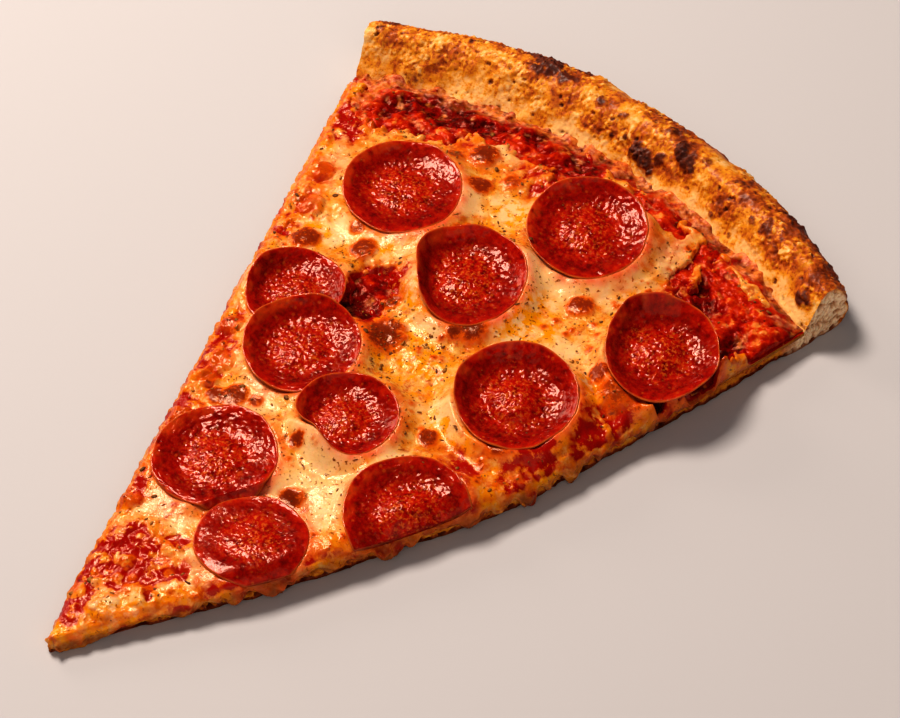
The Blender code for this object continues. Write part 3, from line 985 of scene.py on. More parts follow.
def linear(colour: str) -> tuple[float, float, float, float]:
    """Turns an sRGB hex colour into the linear one that a shader takes.

    Args:
        colour: Six hex digits.

    Returns:
        Red, green, blue and a full alpha.
    """
    shares = [int(colour[k : k + 2], 16) / 255 for k in (0, 2, 4)]
    red, green, blue = (s / 12.92 if s <= 0.04045 else ((s + 0.055) / 1.055) ** 2.4 for s in shares)
    return red, green, blue, 1.0


def every(spacing: float) -> float:
    """The scale of a pattern whose lumps are so many millimetres apart."""
    return 1 / (spacing * MM)


class Kind(Enum):
    """A kind of node: its type, the output that is read, the inputs that it is given, and its settings."""

    PLACE = ("ShaderNodeTexCoord", "Object", (), {})
    MASK = ("ShaderNodeAttribute", "Fac", (), {})
    GRAIN = ("ShaderNodeTexNoise", "Fac", ("Vector", "Scale", "Detail", "Roughness"), {})
    SPECKS = ("ShaderNodeTexVoronoi", "Distance", ("Vector", "Scale"), {})
    RAMP = ("ShaderNodeValToRGB", "Color", ("Fac",), {})
    STRETCH = ("ShaderNodeMapRange", "Result", ("Value", "From Min", "From Max", "To Min", "To Max"), {})
    TIMES = ("ShaderNodeMath", "Value", (0, 1), {"operation": "MULTIPLY", "use_clamp": True})
    PLUS = ("ShaderNodeMath", "Value", (0, 1), {"operation": "ADD", "use_clamp": True})
    LESS = ("ShaderNodeMath", "Value", (0, 1), {"operation": "SUBTRACT"})
    MIX = ("ShaderNodeMix", 2, (0, 6, 7), {"data_type": "RGBA"})
    BUMP = ("ShaderNodeBump", "Normal", ("Strength", "Distance", "Height", "Normal"), {})


@dataclass
class Recipe:
    """A material in the making: its tree, its shader, and the vertex masks that it reads."""

    name: str
    settings: dict[str, object]
    reads: tuple[str, ...] = ()

    def __post_init__(self) -> None:
        """Creates the material, sets its shader's constants and adds its masks."""
        self.material = bpy.data.materials.new(self.name)
        self.material.use_nodes = True
        self.tree = self.material.node_tree
        self.shader = self.tree.nodes["Principled BSDF"]
        for socket, value in self.settings.items():
            self.shader.inputs[socket].default_value = value
        self.place = self.add(Kind.PLACE)
        self.masks = [self.add(Kind.MASK, attribute_name=name) for name in self.reads]

    def add(self, kind: Kind, *given: object, **settings: object) -> bpy.types.NodeSocket:
        """Adds one node with its settings and links.

        Args:
            kind: The kind of node.
            given: What its inputs take, in the kind's order: numbers, hex colours or sockets.
            settings: More of its properties. A ramp's stops are hex colours by where they stand.

        Returns:
            The output that is read.
        """
        node_type, output, inputs, fixed = kind.value
        node = self.tree.nodes.new(node_type)
        stops = settings.pop("stops", {})
        for key, value in {**fixed, **settings}.items():
            setattr(node, key, value)
        for key, value in zip(inputs, given):
            if isinstance(value, bpy.types.NodeSocket):
                self.tree.links.new(value, node.inputs[key])
            else:
                node.inputs[key].default_value = linear(value) if isinstance(value, str) else value
        bar = node.color_ramp.elements if stops else ()
        while len(bar) < len(stops):
            bar.new(0.5)
        for element, (position, colour) in zip(bar, sorted(stops.items())):
            element.position = position
            element.color = linear(colour)
        return node.outputs[output]

    def join(
        self,
        colour: bpy.types.NodeSocket,
        relief: list[tuple[bpy.types.NodeSocket, float]],
        roughness: bpy.types.NodeSocket | None = None,
        coat: bool = False,
    ) -> bpy.types.Material:
        """Joins the parts to the shader.

        Args:
            colour: The colour.
            relief: Pairs of a height from 0 to 1 and how many millimetres that is.
            roughness: The roughness, where it varies.
            coat: Whether the coat takes the relief too.

        Returns:
            The material.
        """
        below: tuple[bpy.types.NodeSocket, ...] = ()
        for height, depth in relief:
            below = (self.add(Kind.BUMP, 1.0, depth * MM, height, *below),)
        ends = {"Base Color": colour, "Roughness": roughness, "Normal": below[0]}
        ends["Coat Normal"] = below[0] if coat else None
        for name, socket in ends.items():
            if socket is not None:
                self.tree.links.new(socket, self.shader.inputs[name])
        return self.material


@dataclass(frozen=True)
class BakedDough:
    """Wheat dough baked on a hot stone: dry and matt with a faint oily sheen, blistered and charred on its
    skin, and pale, soft and open where it is cut."""

    pale: str = "EEC07E"
    golden: str = "E2981E"
    brown: str = "B65A12"
    toasted: str = "76300C"
    # Real char, also used for the painted near-black shade in the skin's pits and in the cut's holes near the
    # base.
    char_and_hole_shade: str = "3E1A16"
    crumb: str = "F8DCB8"
    crumb_shade: str = "D6A272"
    # The colour of the cut crumb's holes: painted shade.
    hole: str = "A0683C"
    stain: str = "C8581A"

    def build(self) -> bpy.types.Material:
        """Makes the material.

        Returns:
            The material, which reads the masks bake, char, crumb, hole and stain.
        """
        settings = {
            "Roughness": 0.6, "IOR": 1.45, "Specular IOR Level": 0.3, "Subsurface Weight": 0.15,
            "Subsurface Scale": 0.002, "Subsurface Radius": (1.0, 0.45, 0.2), "Coat Weight": 0.2,
            "Coat Roughness": 0.28,
        }
        recipe = Recipe("baked dough", settings, ("bake", "char_and_hole_shade", "crumb", "hole", "stain"))
        add, place = recipe.add, recipe.place
        baked, char_and_hole_shade, crumb, hole, stain = recipe.masks
        fine = add(Kind.GRAIN, place, every(1.2), 5, 0.7)
        broad = add(Kind.GRAIN, place, every(5.5), 4, 0.6)
        browned = add(Kind.PLUS, baked, add(Kind.TIMES, add(Kind.STRETCH, fine, 0.5, 0.7), 0.45))
        bake = add(Kind.LESS, browned, add(Kind.TIMES, add(Kind.STRETCH, broad, 0.55, 0.25), 0.25))
        stops = {0.0: self.pale, 0.3: self.golden, 0.62: self.brown, 0.95: self.toasted}
        skin = add(Kind.RAMP, bake, stops=stops)
        # Char spots, with the skin's small pits and the cut's holes near the base painted near black as
        # painted shade.
        skin = add(Kind.MIX, add(Kind.TIMES, char_and_hole_shade, add(Kind.STRETCH, fine, 0.3, 0.6)), skin, self.char_and_hole_shade)
        pores = add(Kind.STRETCH, add(Kind.GRAIN, place, every(1.1), 3, 0.6), 0.52, 0.3)
        # The holes of the cut crumb are painted darker: painted shade.
        inside = add(Kind.MIX, hole, add(Kind.MIX, pores, self.crumb, self.crumb_shade), self.hole)
        colour = add(Kind.MIX, stain, add(Kind.MIX, crumb, skin, inside), self.stain)
        coarse = add(Kind.GRAIN, place, every(1.4), 5, 0.7)
        dusty = add(Kind.GRAIN, place, every(0.5), 2, 0.55)
        return recipe.join(colour, [(coarse, 0.34), (dusty, 0.05)], add(Kind.STRETCH, fine, 0, 1, 0.45, 0.75))


@dataclass(frozen=True)
class TomatoSauce:
    """Cooked crushed tomato: wet and deep red, and more orange where it is thin over the rim; its hollows are
    painted darker and its lumps brighter, as painted shade and painted light.
    """

    deep: str = "460402"
    red: str = "940E03"
    bright: str = "C03406"
    orange: str = "E08A40"
    residue: str = "F0A878"
    dark: str = "2A0907"

    def build(self) -> bpy.types.Material:
        """Makes the material.

        Returns:
            The material, which reads the masks lift and oil.
        """
        settings = {
            "Roughness": 0.26, "IOR": 1.4, "Specular IOR Level": 0.3, "Subsurface Weight": 0.2,
            "Specular Tint": linear("FF8A66"), "Subsurface Scale": 0.0022,
            "Subsurface Radius": (1.0, 0.15, 0.05), "Coat Weight": 0.04, "Coat Roughness": 0.08,
        }
        recipe = Recipe("cooked tomato sauce", settings, ("tone_and_painted_shade", "oil"))
        add, place = recipe.add, recipe.place
        tone_and_painted_shade, oil = recipe.masks
        pulp = add(Kind.STRETCH, add(Kind.GRAIN, place, every(2.4), 5, 0.65), 0.42, 0.7)
        # Low places are painted deep and high ones bright and orange: painted shade in the hollows, painted
        # light on the lumps.
        stops = {0.0: self.deep, 0.38: self.red, 0.72: self.bright, 1.0: self.orange}
        colour = add(Kind.RAMP, add(Kind.PLUS, tone_and_painted_shade, add(Kind.TIMES, pulp, 0.4)), stops=stops)
        herbs = add(Kind.STRETCH, add(Kind.SPECKS, place, every(3.4)), 0.12, 0.07)
        colour = add(Kind.MIX, add(Kind.TIMES, herbs, 0.7), colour, self.dark)
        beads = add(Kind.STRETCH, add(Kind.GRAIN, place, every(1.8), 3, 0.55), 0.3, 0.6)
        patches = add(Kind.STRETCH, add(Kind.GRAIN, place, every(3.4), 4, 0.6), 0.46, 0.58)
        pale = add(Kind.MIX, patches, self.orange, self.residue)
        colour = add(Kind.MIX, add(Kind.TIMES, oil, beads), colour, pale)
        return recipe.join(colour, [(add(Kind.GRAIN, place, every(1.6), 2, 0.5), 0.28)], coat=True)


@dataclass(frozen=True)
class MeltedCheese:
    """Melted mozzarella: cream, dense and slightly see-through, with a wet oily skin, browned where it
    blistered and stained by the oil and the sauce under it. A pink glow round the pepperoni is painted light,
    strongest on their side away from the key lamp."""

    ivory: str = "EACE9E"
    cream: str = "E4BC88"
    butter: str = "E0AC5E"
    honey: str = "CE8026"
    # Painted light: the pink glow round the pepperoni.
    painted_pink_glow: str = "DC5A40"
    oil: str = "E49608"
    rust: str = "B03C10"
    sauce: str = "A21004"
    amber: str = "D46008"
    brown: str = "90340A"
    dark: str = "58200A"
    fleck: str = "7C400C"
    toast: str = "8A4816"

    def build(self) -> bpy.types.Material:
        """Makes the material.

        Returns:
            The material, which reads the masks sheer, pale, oil, blush, brown, dark and toast.
        """
        settings = {
            "Roughness": 0.2, "IOR": 1.44, "Specular IOR Level": 0.36, "Subsurface Weight": 0.35,
            "Specular Tint": linear("FFD2B0"), "Subsurface Scale": 0.0022,
            "Subsurface Radius": (1.0, 0.4, 0.12), "Coat Weight": 0.14, "Coat Roughness": 0.1,
        }
        reads = ("sheer", "pale", "oil", "painted_pink_glow", "brown", "dark", "toast")
        recipe = Recipe("melted mozzarella", settings, reads)
        add, place = recipe.add, recipe.place
        thin, pale, oil, painted_pink_glow, browned, dark, toast = recipe.masks
        clouds = add(Kind.STRETCH, add(Kind.GRAIN, place, every(3.6), 5, 0.65), 0.4, 0.6)
        colour = add(Kind.MIX, clouds, self.butter, self.honey)
        stains = add(Kind.STRETCH, add(Kind.GRAIN, place, every(4.4), 6, 0.7), 0.52, 0.62)
        rusty = add(Kind.TIMES, add(Kind.LESS, stains, pale), 0.75)
        colour = add(Kind.MIX, rusty, colour, self.rust)
        colour = add(Kind.MIX, pale, colour, add(Kind.MIX, clouds, self.cream, self.ivory))
        freckles = add(Kind.STRETCH, add(Kind.GRAIN, place, every(1.5), 4, 0.65), 0.54, 0.66)
        freckled = add(Kind.TIMES, add(Kind.LESS, freckles, pale), 0.6)
        colour = add(Kind.MIX, freckled, colour, self.amber)
        pools = add(Kind.STRETCH, add(Kind.GRAIN, place, every(3.6), 5, 0.62), 0.44, 0.54)
        oily = add(Kind.TIMES, add(Kind.PLUS, oil, 0.3), pools)
        colour = add(Kind.MIX, oily, colour, self.oil)
        # Painted light: a pink glow round the pepperoni.
        colour = add(Kind.MIX, add(Kind.TIMES, painted_pink_glow, 0.85), colour, self.painted_pink_glow)
        flecks = add(Kind.STRETCH, add(Kind.GRAIN, place, every(1.1), 2, 0.55), 0.6, 0.68)
        colour = add(Kind.MIX, add(Kind.TIMES, flecks, pools), colour, self.fleck)
        broken = add(Kind.STRETCH, add(Kind.GRAIN, place, every(2.2), 5, 0.65), 0.32, 0.62)
        sheer = add(Kind.TIMES, thin, add(Kind.PLUS, broken, 0.35))
        stops = {0.0: self.amber, 0.3: self.amber, 0.6: self.sauce, 1.0: self.sauce}
        through = add(Kind.RAMP, sheer, stops=stops)
        colour = add(Kind.MIX, add(Kind.STRETCH, sheer, 0.0, 0.62), colour, through)
        mottle = add(Kind.STRETCH, add(Kind.GRAIN, place, every(1.4), 4, 0.65), 0.18, 0.52)
        brown = add(Kind.TIMES, browned, mottle)
        stops = {0.0: self.amber, 0.45: self.amber, 0.8: self.brown, 1.0: self.brown}
        scorched = add(Kind.RAMP, brown, stops=stops)
        colour = add(Kind.MIX, add(Kind.STRETCH, brown, 0.0, 0.5), colour, scorched)
        colour = add(Kind.MIX, add(Kind.TIMES, dark, mottle), colour, self.dark)
        colour = add(Kind.MIX, toast, colour, self.toast)
        smears = add(Kind.GRAIN, place, every(2.2), 3, 0.55)
        ripples = add(Kind.GRAIN, place, every(2.2), 3, 0.5)
        pits = add(Kind.GRAIN, place, every(1.0), 3, 0.6)
        rough = add(Kind.STRETCH, smears, 0, 1, 0.12, 0.34)
        return recipe.join(colour, [(ripples, 0.26), (pits, 0.1)], rough, coat=True)


@dataclass(frozen=True)
class CuredSausage:
    """Dry-cured pork and paprika, fried in its own fat: deep red and wet, with orange fat in the meat, and
    thin at its turned-up edge. Painted light makes that wall brighter and makes it glow on the side towards
    the key lamp; painted shade darkens a band at the wall's foot."""

    deep: str = "640402"
    red: str = "9E0E04"
    bright: str = "B82A08"
    # Painted light: the colour of the wall's glow on the side towards the key lamp.
    painted_wall_glow: str = "CC5A22"
    fat: str = "D0702A"
    rind: str = "DC9468"
    edge: str = "BC6A2C"

    def build(self) -> bpy.types.Material:
        """Makes the material.

        Returns:
            The material, which reads the masks meat, ring, wall, lit, rind and edge.
        """
        settings = {
            "Roughness": 0.24, "IOR": 1.45, "Specular IOR Level": 0.22, "Subsurface Weight": 0.3,
            "Specular Tint": linear("FFA888"), "Subsurface Scale": 0.002,
            "Subsurface Radius": (1.0, 0.1, 0.03), "Coat Weight": 0.24, "Coat Roughness": 0.07,
        }
        reads = ("meat", "painted_ring_shade", "wall", "painted_wall_glow", "rind", "edge")
        recipe = Recipe("fried cured sausage", settings, reads)
        add, place = recipe.add, recipe.place
        meat, painted_ring_shade, wall, painted_wall_glow, rind, edge = recipe.masks
        marbling = add(Kind.GRAIN, place, every(2.2), 5, 0.65)
        stops = {0.32: self.deep, 0.5: self.red, 0.66: self.bright}
        colour = add(Kind.RAMP, marbling, stops=stops)
        crumbs = add(Kind.STRETCH, add(Kind.GRAIN, place, every(0.9), 3, 0.6), 0.5, 0.64)
        fatty = add(Kind.TIMES, add(Kind.TIMES, meat, crumbs), 0.85)
        colour = add(Kind.MIX, fatty, colour, self.fat)
        beads = add(Kind.STRETCH, add(Kind.SPECKS, place, every(3.1)), 0.2, 0.12)
        colour = add(Kind.MIX, add(Kind.TIMES, beads, 0.4), colour, self.fat)
        # Painted shade: a darker band at the foot of the turned-up wall stands in for the cup's shade.
        colour = add(Kind.MIX, add(Kind.TIMES, painted_ring_shade, 0.4), colour, self.deep)
        # Painted light: the turned-up wall is painted brighter, in streaks.
        streaks = add(Kind.STRETCH, add(Kind.GRAIN, place, every(3.0), 4, 0.6), 0.4, 0.95)
        colour = add(Kind.MIX, add(Kind.TIMES, wall, streaks), colour, self.bright)
        # Painted light: the wall glows on the side towards the key lamp.
        colour = add(Kind.MIX, add(Kind.TIMES, painted_wall_glow, 0.5), colour, self.painted_wall_glow)
        colour = add(Kind.MIX, rind, colour, self.rind)
        colour = add(Kind.MIX, edge, colour, self.edge)
        grit = add(Kind.TIMES, add(Kind.GRAIN, place, every(1.1), 1, 0.5), add(Kind.PLUS, meat, 0.05))
        pitted = add(Kind.GRAIN, place, every(1.2), 2, 0.5)
        return recipe.join(colour, [(pitted, 0.1), (grit, 0.13)], coat=True)


@dataclass(frozen=True)
class DriedHerb:
    """Dried oregano and cracked pepper: dull, olive brown to nearly black."""

    leaf: str = "A06A24"
    stalk: str = "643612"

    def build(self) -> bpy.types.Material:
        """Makes the material."""
        recipe = Recipe("dried herb", {"Roughness": 0.7, "IOR": 1.45})
        add, place = recipe.add, recipe.place
        blades = add(Kind.STRETCH, add(Kind.GRAIN, place, every(4.0), 2, 0.55), 0.4, 0.6)
        colour = add(Kind.MIX, blades, self.leaf, self.stalk)
        return recipe.join(colour, [(add(Kind.GRAIN, place, every(0.3), 3, 0.55), 0.05)])


@dataclass(frozen=True)
class FloorPaint:
    """A smooth matt off-white studio floor."""

    white: str = "BEBFC4"

    def build(self) -> bpy.types.Material:
        """Makes the material."""
        return Recipe("matt studio floor", {"Roughness": 0.85, "Base Color": linear(self.white)}).material


# ---- The crust ----


@dataclass(frozen=True)
class CharSpot:
    """A burnt or raised spot on the rim: u across the slice, its place round the rim from foot to underside
    in millimetres, its radius, how far it stands up, and how black it is."""

    u: float
    round_rim: float
    radius: float
    height: float
    black: float


@dataclass
class Crust:
    """The baked dough: a thin base and a raised rim, cut through at both sides."""

    waist: float = 7.0
    undercut: float = 0.68
    half_rim: float = 96.0
    rim_skin: float = 56.0
    base_rows: int = 10
    rim_rows: int = 10
    columns: int = 22
    spots: tuple[CharSpot, ...] = each(
        CharSpot, (-0.96, 24, 2.2, 0.3, 0.9), (-0.93, 32, 5.0, 0.3, 0.7), (-0.36, 27, 6.0, 0.9, 0.95),
        (-0.28, 24, 3.4, 0.8, 0.8), (-0.44, 31, 3.6, 0.5, 0.8), (-0.26, 33, 4.0, 0.5, 0.9),
        (0.11, 10.5, 4.6, 1.8, 1.0), (0.17, 13, 2.4, 0.8, 0.8), (0.24, 20.5, 3.6, 1.1, 1.0),
        (0.28, 17, 2.6, 0.7, 0.8), (0.16, 25, 3.0, 0.5, 0.7), (0.33, 23, 2.0, 0.4, 0.6),
        (0.66, 31, 3.2, 0.6, 1.0), (0.72, 33, 2.8, 0.6, 1.0), (0.80, 33, 2.4, 0.5, 1.0),
        (0.88, 34, 2.2, 0.4, 0.9), (0.93, 12, 3.4, 0.7, 0.75), (0.60, 17, 1.8, 0.5, 0.7),
        (0.66, 19, 3.4, 0.5, 0.55), (0.02, 14, 1.3, 0.2, 0.9), (-0.03, 12, 1.1, 0.2, 0.9),
        (0.44, 8, 1.3, 0.3, 0.7), (-0.64, 26, 1.6, 0.3, 0.9), (-0.12, 21, 2.0, 0.5, 0.7),
        (-0.02, 20, 1.6, 0.4, 0.6), (0.86, 6, 1.1, 0.1, 0.9), (0.54, 7, 1.0, 0.1, 0.8),
        (-0.8, 6, 3.2, 0.4, 0.65), (-0.7, 3.5, 2.2, 0.2, 0.75), (0.47, 24, 2.6, 0.5, 0.5),
    )

    def slab(self) -> Slab:
        """Lays out the dough: fine on the rim and the cut sides, and coarse where it is covered."""
        rim_start = self.base_rows / (self.base_rows + self.rim_rows) - SLIVER

        def on_rim_skin(middle: Vector) -> bool:
            """Edges of the rim's skin."""
            return on_top(middle) and middle.y >= rim_start

        def on_cut(middle: Vector) -> bool:
            """Edges of the two cut sides."""
            return abs(middle.x) > ON_FACE

        return Slab(
            self.columns,
            self.base_rows + self.rim_rows,
            (
                Refinement(Axis.ACROSS, 19, on_rim_skin),
                Refinement(Axis.OUT, 10, lambda m: m.y > rim_start and (on_top(m) or on_cut(m))),
                Refinement(Axis.OUT, 45, lambda m: m.y < rim_start and on_cut(m)),
                Refinement(Axis.UP, 29, lambda m: m.y > rim_start and on_cut(m)),
                Refinement(Axis.UP, 11, lambda m: (m.y < rim_start and on_cut(m)) or m.y < SLIVER),
            ),
        )

    def skin_curve(self) -> tuple[Array, Array, Array]:
        """The rim in section, from its foot over its crest and round its outside to the table.

        Returns:
            Shares of the length along it, shares of the rim's width, and heights.
        """
        up = np.linspace(0, 1, 60)
        inner_x = PLAN.crest * up
        inner_z = PLAN.dough_rise(inner_x * PLAN.rim_width)
        turn = np.linspace(0, math.pi / 2, 60)[1:]
        outer_x = PLAN.crest + (1 - PLAN.crest) * np.sin(turn)
        outer_z = self.waist + (PLAN.rim_height - self.waist) * np.cos(turn)
        under_x = self.undercut + (1 - self.undercut) * np.cos(turn)
        under_z = self.waist * (1 - np.sin(turn))
        x, z = np.concatenate([inner_x, outer_x, under_x]), np.concatenate([inner_z, outer_z, under_z])
        length = np.concatenate([[0], np.cumsum(np.hypot(np.diff(x * PLAN.rim_width), np.diff(z)))])
        return length / length[-1], x, z

    def shape(self, shares: Array) -> tuple[Array, Array]:
        """Turns the slab's shares into places.

        Args:
            shares: Rows of shares across, out and up.

        Returns:
            Rows of x, y and z, and how far round the rim's skin each is in millimetres, below 0 on the base.
        """
        u, out, up = shares.T
        split = self.base_rows / (self.base_rows + self.rim_rows)
        foot, width = PLAN.foot(u), PLAN.outer(u) - PLAN.foot(u)
        on_base = np.clip(out / split, 0, 1)
        round_rim = np.clip((out - split) / (1 - split), 0, 1)
        along, curve_x, curve_z = self.skin_curve()
        ragged_tip = 1.2 * noise(flat_points(u * 3, up * 2), 1, 51) * smoothstep(0.1, 0, out)
        base_r = PLAN.tip_start + ragged_tip + (foot - PLAN.tip_start) * on_base
        wave = 1.2 * noise(flat_points(*PLAN.place(u, np.full(len(u), PLAN.outer_middle))), 24, 2)
        top_r = base_r + (width + wave) * np.interp(round_rim, along, curve_x)
        top_z = np.where(round_rim > 0, np.interp(round_rim, along, curve_z), PLAN.base)
        bottom_r = base_r + (width * self.undercut - 0.6) * round_rim
        r, z = blend(bottom_r, top_r, up), top_z * up
        x, y = PLAN.place(u, r)
        around = np.where(out > split, round_rim * self.rim_skin * up, -1.0)
        return np.stack([x, y, z], axis=1), around

    def char_field(self, u: Array, around: Array, points: Array) -> tuple[Array, Array]:
        """The burnt spots, and small pits painted near black as painted shade.

        Args:
            u: Shares across.
            around: Millimetres round the rim from its foot.
            points: Rows of x, y and z.

        Returns:
            How far they stand up, and how black they are.
        """
        height, black = np.zeros(len(u)), np.zeros(len(u))
        bubbly = 0.5 + 0.8 * billows(warped(points, 0.7, 2, 87), 2.4, 2, 88)
        stray = 0.75 * noise(points, 3.4, 61) + 0.45 * noise(points, 1.4, 62)
        for spot in self.spots:
            apart = np.hypot((u - spot.u) * self.half_rim, around - spot.round_rim) / spot.radius + stray
            height = np.maximum(height, spot.height * smoothstep(1.3, 0.2, apart) * bubbly)
            black = np.maximum(black, spot.black * smoothstep(1.1, 0.55, apart))
        # Small pits sunk into the skin and painted near black: painted shade.
        near, _, own = cells(u * self.half_rim, around, 5.0, 63)
        fleck = (
            np.where(own > 0.6, smoothstep(0.16, 0.05, near + 0.3 * stray), 0)
            * np.where(around > 4, 1, 0)
        )
        return height - 0.5 * fleck, np.maximum(black, 0.8 * fleck)

    def build(self, dough: bpy.types.Material) -> bpy.types.Object:
        """Makes the crust.

        Args:
            dough: Its material.

        Returns:
            The finished piece.
        """
        mesh = SHOP.to_mesh("crust skin", self.slab().mesh())
        shares = SHOP.coordinates(mesh)
        u, _, up = shares.T
        points, around = self.shape(shares)
        SHOP.set_coordinates(mesh, points)
        outward = SHOP.outward(mesh)

        skin = ((around > 0) & (up > ON_FACE)).astype(float)
        inner = smoothstep(0, 3.0, around)
        table = smoothstep(53, 44, around)
        to_cut = PLAN.to_cut(u, np.hypot(points[:, 0], points[:, 1]))
        at_cut = smoothstep(0.1, 2.5, to_cut)
        stretched = np.stack([u * self.half_rim / 1.7, around / 3.2, np.zeros(len(u))], axis=1)
        swirl = 1.4 * noise(points, 9, 64)
        flakes = creases(stretched + swirl[:, None] * (1, 0.4, 0), 1.0, 3, 65)
        uneven = u * self.half_rim + 0.9 * noise(points, 2.2, 58)
        scale_near, scale_next, scale_own = cells(uneven, around, 2.3, 59)
        scales = smoothstep(0.0, 0.22, scale_next - scale_near) * (0.4 + scale_own) - 0.5
        lumpy = 1.1 * noise(points, 26, 66) + 0.9 * layered(points, 10, 2, 67) + 0.45 * noise(points, 4.2, 68)
        spot_height, black = self.char_field(u, around, points)
        shaggy = (
            smoothstep(5, 12, around + 3 * noise(points, 12, 69))
            * smoothstep(-0.5, 0.2, noise(points, 15, 70))
        )
        folds = billows(warped(points, 1.6, 4, 57), 4.2, 3, 60)
        crumbly = billows(warped(points, 0.8, 2.4, 54), 2.0, 2, 53)
        rough = (
            0.6 * flakes**1.5 * (0.35 + 0.65 * shaggy)
            + shaggy * (0.12 * scales + 0.9 * folds + 0.45 * crumbly - 0.6)
        )
        relief = skin * inner * table * (lumpy + rough * blend(0.5, 1, at_cut) + spot_height)

        on_cut = (np.abs(u) > ON_FACE) & (up < ON_FACE)
        r = np.hypot(points[:, 0], points[:, 1])
        near, _, own = cells(r + 0.5 * noise(points, 2, 72), points[:, 2] * 1.35, 2.8, 73)
        small_near, _, small_own = cells(r, points[:, 2], 1.15, 74)
        hole = smoothstep(0.42, 0.18, near / (0.35 + own)) * (own > 0.25)
        small_hole = smoothstep(0.45, 0.2, small_near) * (small_own > 0.4)
        in_body = smoothstep(0, 0.8, np.minimum(points[:, 2], (1 - up) * 12))
        pores = np.where(
            on_cut, (1.6 * hole + 0.5 * small_hole) * in_body + 0.9 * np.abs(noise(points, 4, 75)), 0
        )
        at_base = smoothstep(2, -6, r - PLAN.foot(u))
        pores = pores + np.where(on_cut, at_base * (0.7 + 0.5 * noise(points, 9, 79)), 0)
        points = points + outward * (relief - pores)[:, None]
        points[:, 2] = np.maximum(points[:, 2], 0)
        SHOP.set_coordinates(mesh, points)

        pale_slope = smoothstep(11, 5, around + 5 * noise(points, 7, 80)) * smoothstep(-0.8, -0.4, u)
        pale_slope = pale_slope * smoothstep(-0.35, 0.25, noise(points, 13, 90))
        right_crest = smoothstep(-0.3, 0.35, u) * smoothstep(8, 17, around + 5 * noise(points, 10, 56))
        streaks = np.stack([u * self.half_rim / 1.6, around / 7, np.zeros(len(u))], axis=1)
        streaked = smoothstep(0.1, 0.6, layered(streaks, 1.0, 3, 86)) * smoothstep(2, 6, around)
        bake = (
            0.24 + 0.8 * layered(points, 10, 4, 76, 0.6) + 0.2 * (flakes - 0.3) * shaggy
            + 0.22 * right_crest
        )
        # In the shaggy skin the valleys between the folds are painted browner: painted shade.
        bake = (
            bake + 0.5 * shaggy * (0.55 - folds * crumbly) + 0.16 * smoothstep(22, 36, around)
            - 0.4 * pale_slope
        )
        bake = bake + 0.3 * streaked * (1 - 0.4 * pale_slope)
        # The tops of the crumbly lumps are painted paler: painted highlights.
        bake = (
            bake
            - 0.5 * shaggy * smoothstep(0.55, 0.9, crumbly) * smoothstep(-0.1, 0.3, noise(points, 3, 89))
        )
        bake = bake + 0.5 * smoothstep(0.05, 0.8, spot_height) + 0.3 * black
        base_side = 0.45 + 0.35 * noise(points, 5, 77) + 0.75 * smoothstep(1.9, 0.4, points[:, 2])
        bake = np.where(skin > 0, bake, base_side)
        edge_toast = smoothstep(1.3, 0.2, np.minimum(points[:, 2], np.where(around > 0, (1 - up) * 14, 9)))
        crumb = np.where(on_cut, 1 - 0.85 * edge_toast, 0) * (1 - at_base)
        stray = 3.5 * noise(points, 7, 78) + 2.0 * noise(points, 2.4, 55)
        stain = skin * smoothstep(5.0, 0.5, around + stray) * 0.75
        stain = np.where(on_cut & (at_base > 0.5), 0.3 * smoothstep(2.0, 5, points[:, 2]), stain)
        # The cut crumb's holes are painted darker, and those near the base near black, as painted shade.
        hollow = np.where(on_cut, np.maximum(hole, 0.7 * small_hole), 0)
        char_and_hole_shade = np.where(on_cut, 0.7 * hole * at_base, black * skin)
        masks = {"bake": bake, "char_and_hole_shade": char_and_hole_shade, "crumb": crumb, "stain": stain, "hole": hollow}
        return SHOP.finish("crust_baked", mesh, dough, Slot.DOUGH, masks, ("crust",), sharp_above=70)


# ---- Sauce and cheese ----


